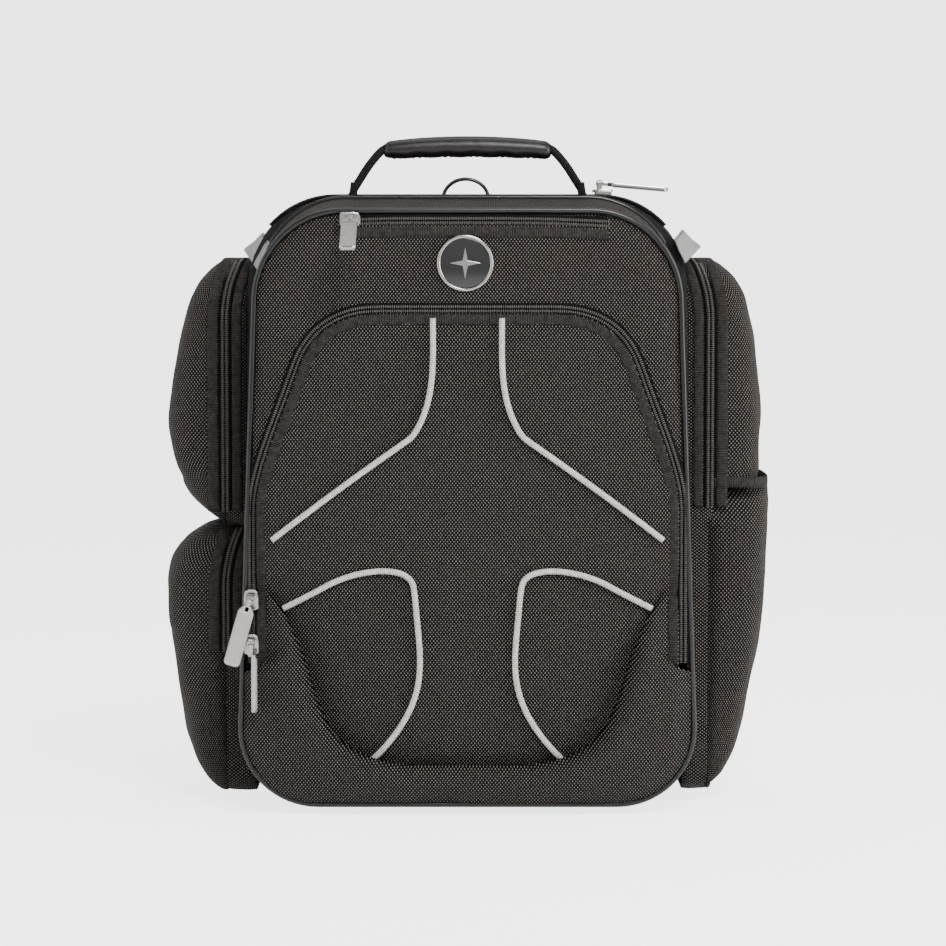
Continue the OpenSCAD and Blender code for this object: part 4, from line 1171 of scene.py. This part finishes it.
stitch = rowOf("gripStitches", place(line, h["y"] - 4.2), 4.2, (3.0, 0.9, 0.9), thread, "Z", (0, 0, 1))
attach(stitch, "handle")

# hang loop behind the handle
loop = arc(-1.5, mainTop + 0.4, 15, 13, -22, 202, 30)
o = sweep("hangLoop", place(loop, 66.0), (0, 1, 0), inPlane(loop), strap(9, 2.4, 0.8), pipingGloss)
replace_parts(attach(o, "lid"), "hang_loop")
print("handle made")

# ---- back: sleeve, pads and webbing ----

sleeve = {"half": 80.0, "low": 130.0, "high": 255.0, "y": 80.0}
zs = np.linspace(sleeve["low"], sleeve["high"], 24)
s = np.linspace(-1, 1, 40)
y = 71.4 + (sleeve["y"] - 71.4 + 1) * (1 - np.abs(s) ** 6)
verts = np.stack([np.broadcast_to(s * sleeve["half"], (24, 40)),
                  np.broadcast_to(y, (24, 40)) + ripple(s * 80, zs[:, None], 0.5),
                  np.broadcast_to(zs[:, None], (24, 40))], -1)
o = gridPiece("trolleySleeve", verts, verts[..., [0, 2]], cloth, flip=True)
turnedOut(o)
if o.data.polygons[400].normal.y < 0:
    o.data.flip_normals()
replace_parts(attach(thicken(o, 2.0), "bag"), "trolley_sleeve")
padSizes = {"thick": 12.0, "front": 81.5}
for n, sx in (("L", -1), ("R", 1)):
    inner = bezier([24, 360], [22, 300], [52, 250], [52, 175], 40)
    outer = bezier([76, 360], [80, 300], [94, 250], [92, 175], 40)
    mid, w = (inner + outer) / 2, np.linalg.norm(outer - inner, axis=1) / 2
    a = np.linspace(0, 2 * math.pi, 32, endpoint=False)
    ca, sa = np.sign(np.cos(a)) * np.abs(np.cos(a)) ** 0.5, np.sign(np.sin(a)) * np.abs(np.sin(a)) ** 0.7
    end = np.sqrt(np.clip(1 - (np.abs(np.linspace(-1, 1, 41)) ** 14), 0.02, 1))
    x = sx * (mid[:, :1] + w[:, None] * ca * end[:, None])
    y = padSizes["front"] + padSizes["thick"] / 2 + sa * padSizes["thick"] / 2 * end[:, None]
    y = y + ripple(x, mid[:, 1:], 0.5)
    y[:6] -= np.linspace(9, 0, 6)[:, None]
    z = np.broadcast_to(mid[:, 1:], x.shape)
    verts = np.stack([x, y, z], -1)
    faces = gridFaces(41, 32, wrapCols=True) + [list(range(32)), [40 * 32 + k for k in range(31, -1, -1)]]
    o = turnedOut(makeMesh("shoulderPad" + n, verts, faces, np.stack([x, z + y], -1), meshCloth))
    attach(o, "bag")
    if n == "L":
        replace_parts(o, "shoulder_straps")
    line = bezier([72, 172], [74, 140], [100, 90], [118, 52], 24)
    y = np.interp(np.arange(25), [0, 18, 24], [85.5, 85.5, 73.0])
    t = tangents(line)
    crossW = np.stack([t[:, 1] * sx, t[:, 0] * 0, -t[:, 0]], 1)
    o = sweep("strapWebbing" + n, place(line * [sx, 1], y), crossW, (0, 1, 0), strap(25, 1.8, 0.5), webbing)
    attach(o, "bag")
    if n == "L":
        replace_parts(o, "strap_webbing")
print("back made")

# ---- what is kept from the CAD ----

keptFinishes = {"bottom_board": (board, "board"), "divider": (lining, "lining"),
                "top_pocket_pouch": (lining, "lining"),
                "feet": (rubber, "foot_rubber"), "ladder_locks": (moulded, "buckle")}
for node, (finish, slotName) in keptFinishes.items():
    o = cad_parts[node]
    o.data.materials.clear()
    o.data.materials.append(finish)

# ---- floor, light and camera ----

studio = {"floor": (0.9, 0.9, 0.9), "floorGlow": 2.6, "floorSpill": 0.25, "sky": 0.03, "key": 46.0,
          "left": 7.0, "right": 24.0, "top": 7.0}
# the pale floor sweeps up all round into a backdrop
bowl = [(0.0005, 0.0), (4.0, 0.0)] + [(4.0 + 2.5 * math.sin(k), 2.5 - 2.5 * math.cos(k))
                                   for k in np.linspace(0.1, math.pi / 2, 16)] + [(6.5, 9.0)]
turn = np.linspace(0, 2 * math.pi, 64, endpoint=False)
me = bpy.data.meshes.new("floor")
me.from_pydata([(r * math.cos(k), r * math.sin(k), z) for r, z in bowl for k in turn], [],
               gridFaces(len(bowl), 64, wrapCols=True) + [list(range(64))])
me.polygons.foreach_set("use_smooth", [True] * len(me.polygons))
floor = bpy.data.objects.new("floor", me)
bpy.context.scene.collection.objects.link(floor)
floorMat, nt, sh = newMaterial("paleFloor")
sh.inputs["Base Color"].default_value = (*studio["floor"], 1)
sh.inputs["Roughness"].default_value = 0.9
sh.inputs["Specular IOR Level"].default_value = 0.0
sh.inputs["Emission Color"].default_value = (1, 1, 1, 1)
seen = nt.nodes.new("ShaderNodeLightPath")
glow = addMath(nt, "MULTIPLY", seen.outputs["Is Camera Ray"], studio["floorGlow"])
nt.links.new(addMath(nt, "ADD", glow, studio["floorSpill"]), sh.inputs["Emission Strength"])
me.materials.append(floorMat)
world = bpy.data.worlds.new("studio")
bpy.context.scene.world = world
world.use_nodes = True
world.node_tree.nodes["Background"].inputs[0].default_value = (1, 1, 1, 1)
world.node_tree.nodes["Background"].inputs[1].default_value = studio["sky"]


def softLight(name, at, towards, size, power):
    data = bpy.data.lights.new(name, "AREA")
    data.shape, data.size, data.size_y, data.energy = "RECTANGLE", size[0], size[1], power
    o = bpy.data.objects.new(name, data)
    o.location = at
    o.rotation_euler = (Vector(towards) - Vector(at)).to_track_quat("-Z", "Y").to_euler()
    bpy.context.scene.collection.objects.link(o)


softLight("keyLight", (0.5, -1.5, 1.9), (0, 0, 0.25), (0.9, 0.7), studio["key"])
softLight("leftLight", (-1.6, -0.5, 0.6), (0, 0, 0.22), (0.8, 1.2), studio["left"])
softLight("rightLight", (1.6, -0.5, 0.7), (0, 0, 0.22), (0.8, 1.2), studio["right"])
softLight("topLight", (0.0, 0.4, 1.8), (0, 0, 0.3), (1.2, 0.8), studio["top"])
view = {"distance": 2.1, "elevation": 4.0, "lens": 119.3,
        "target": (0.0037, (depthShift - 99) / 1000, 0.2317)}
cam = bpy.data.objects.new("camera", bpy.data.cameras.new("camera"))
cam.data.lens, cam.data.sensor_width = view["lens"], 36
e = math.radians(view["elevation"])
back = Vector((0, -math.cos(e), math.sin(e)))
cam.location = Vector(view["target"]) + back * view["distance"]
cam.rotation_euler = (-back).to_track_quat("-Z", "Y").to_euler()
bpy.context.scene.collection.objects.link(cam)
bpy.context.scene.camera = cam
print("scene done")
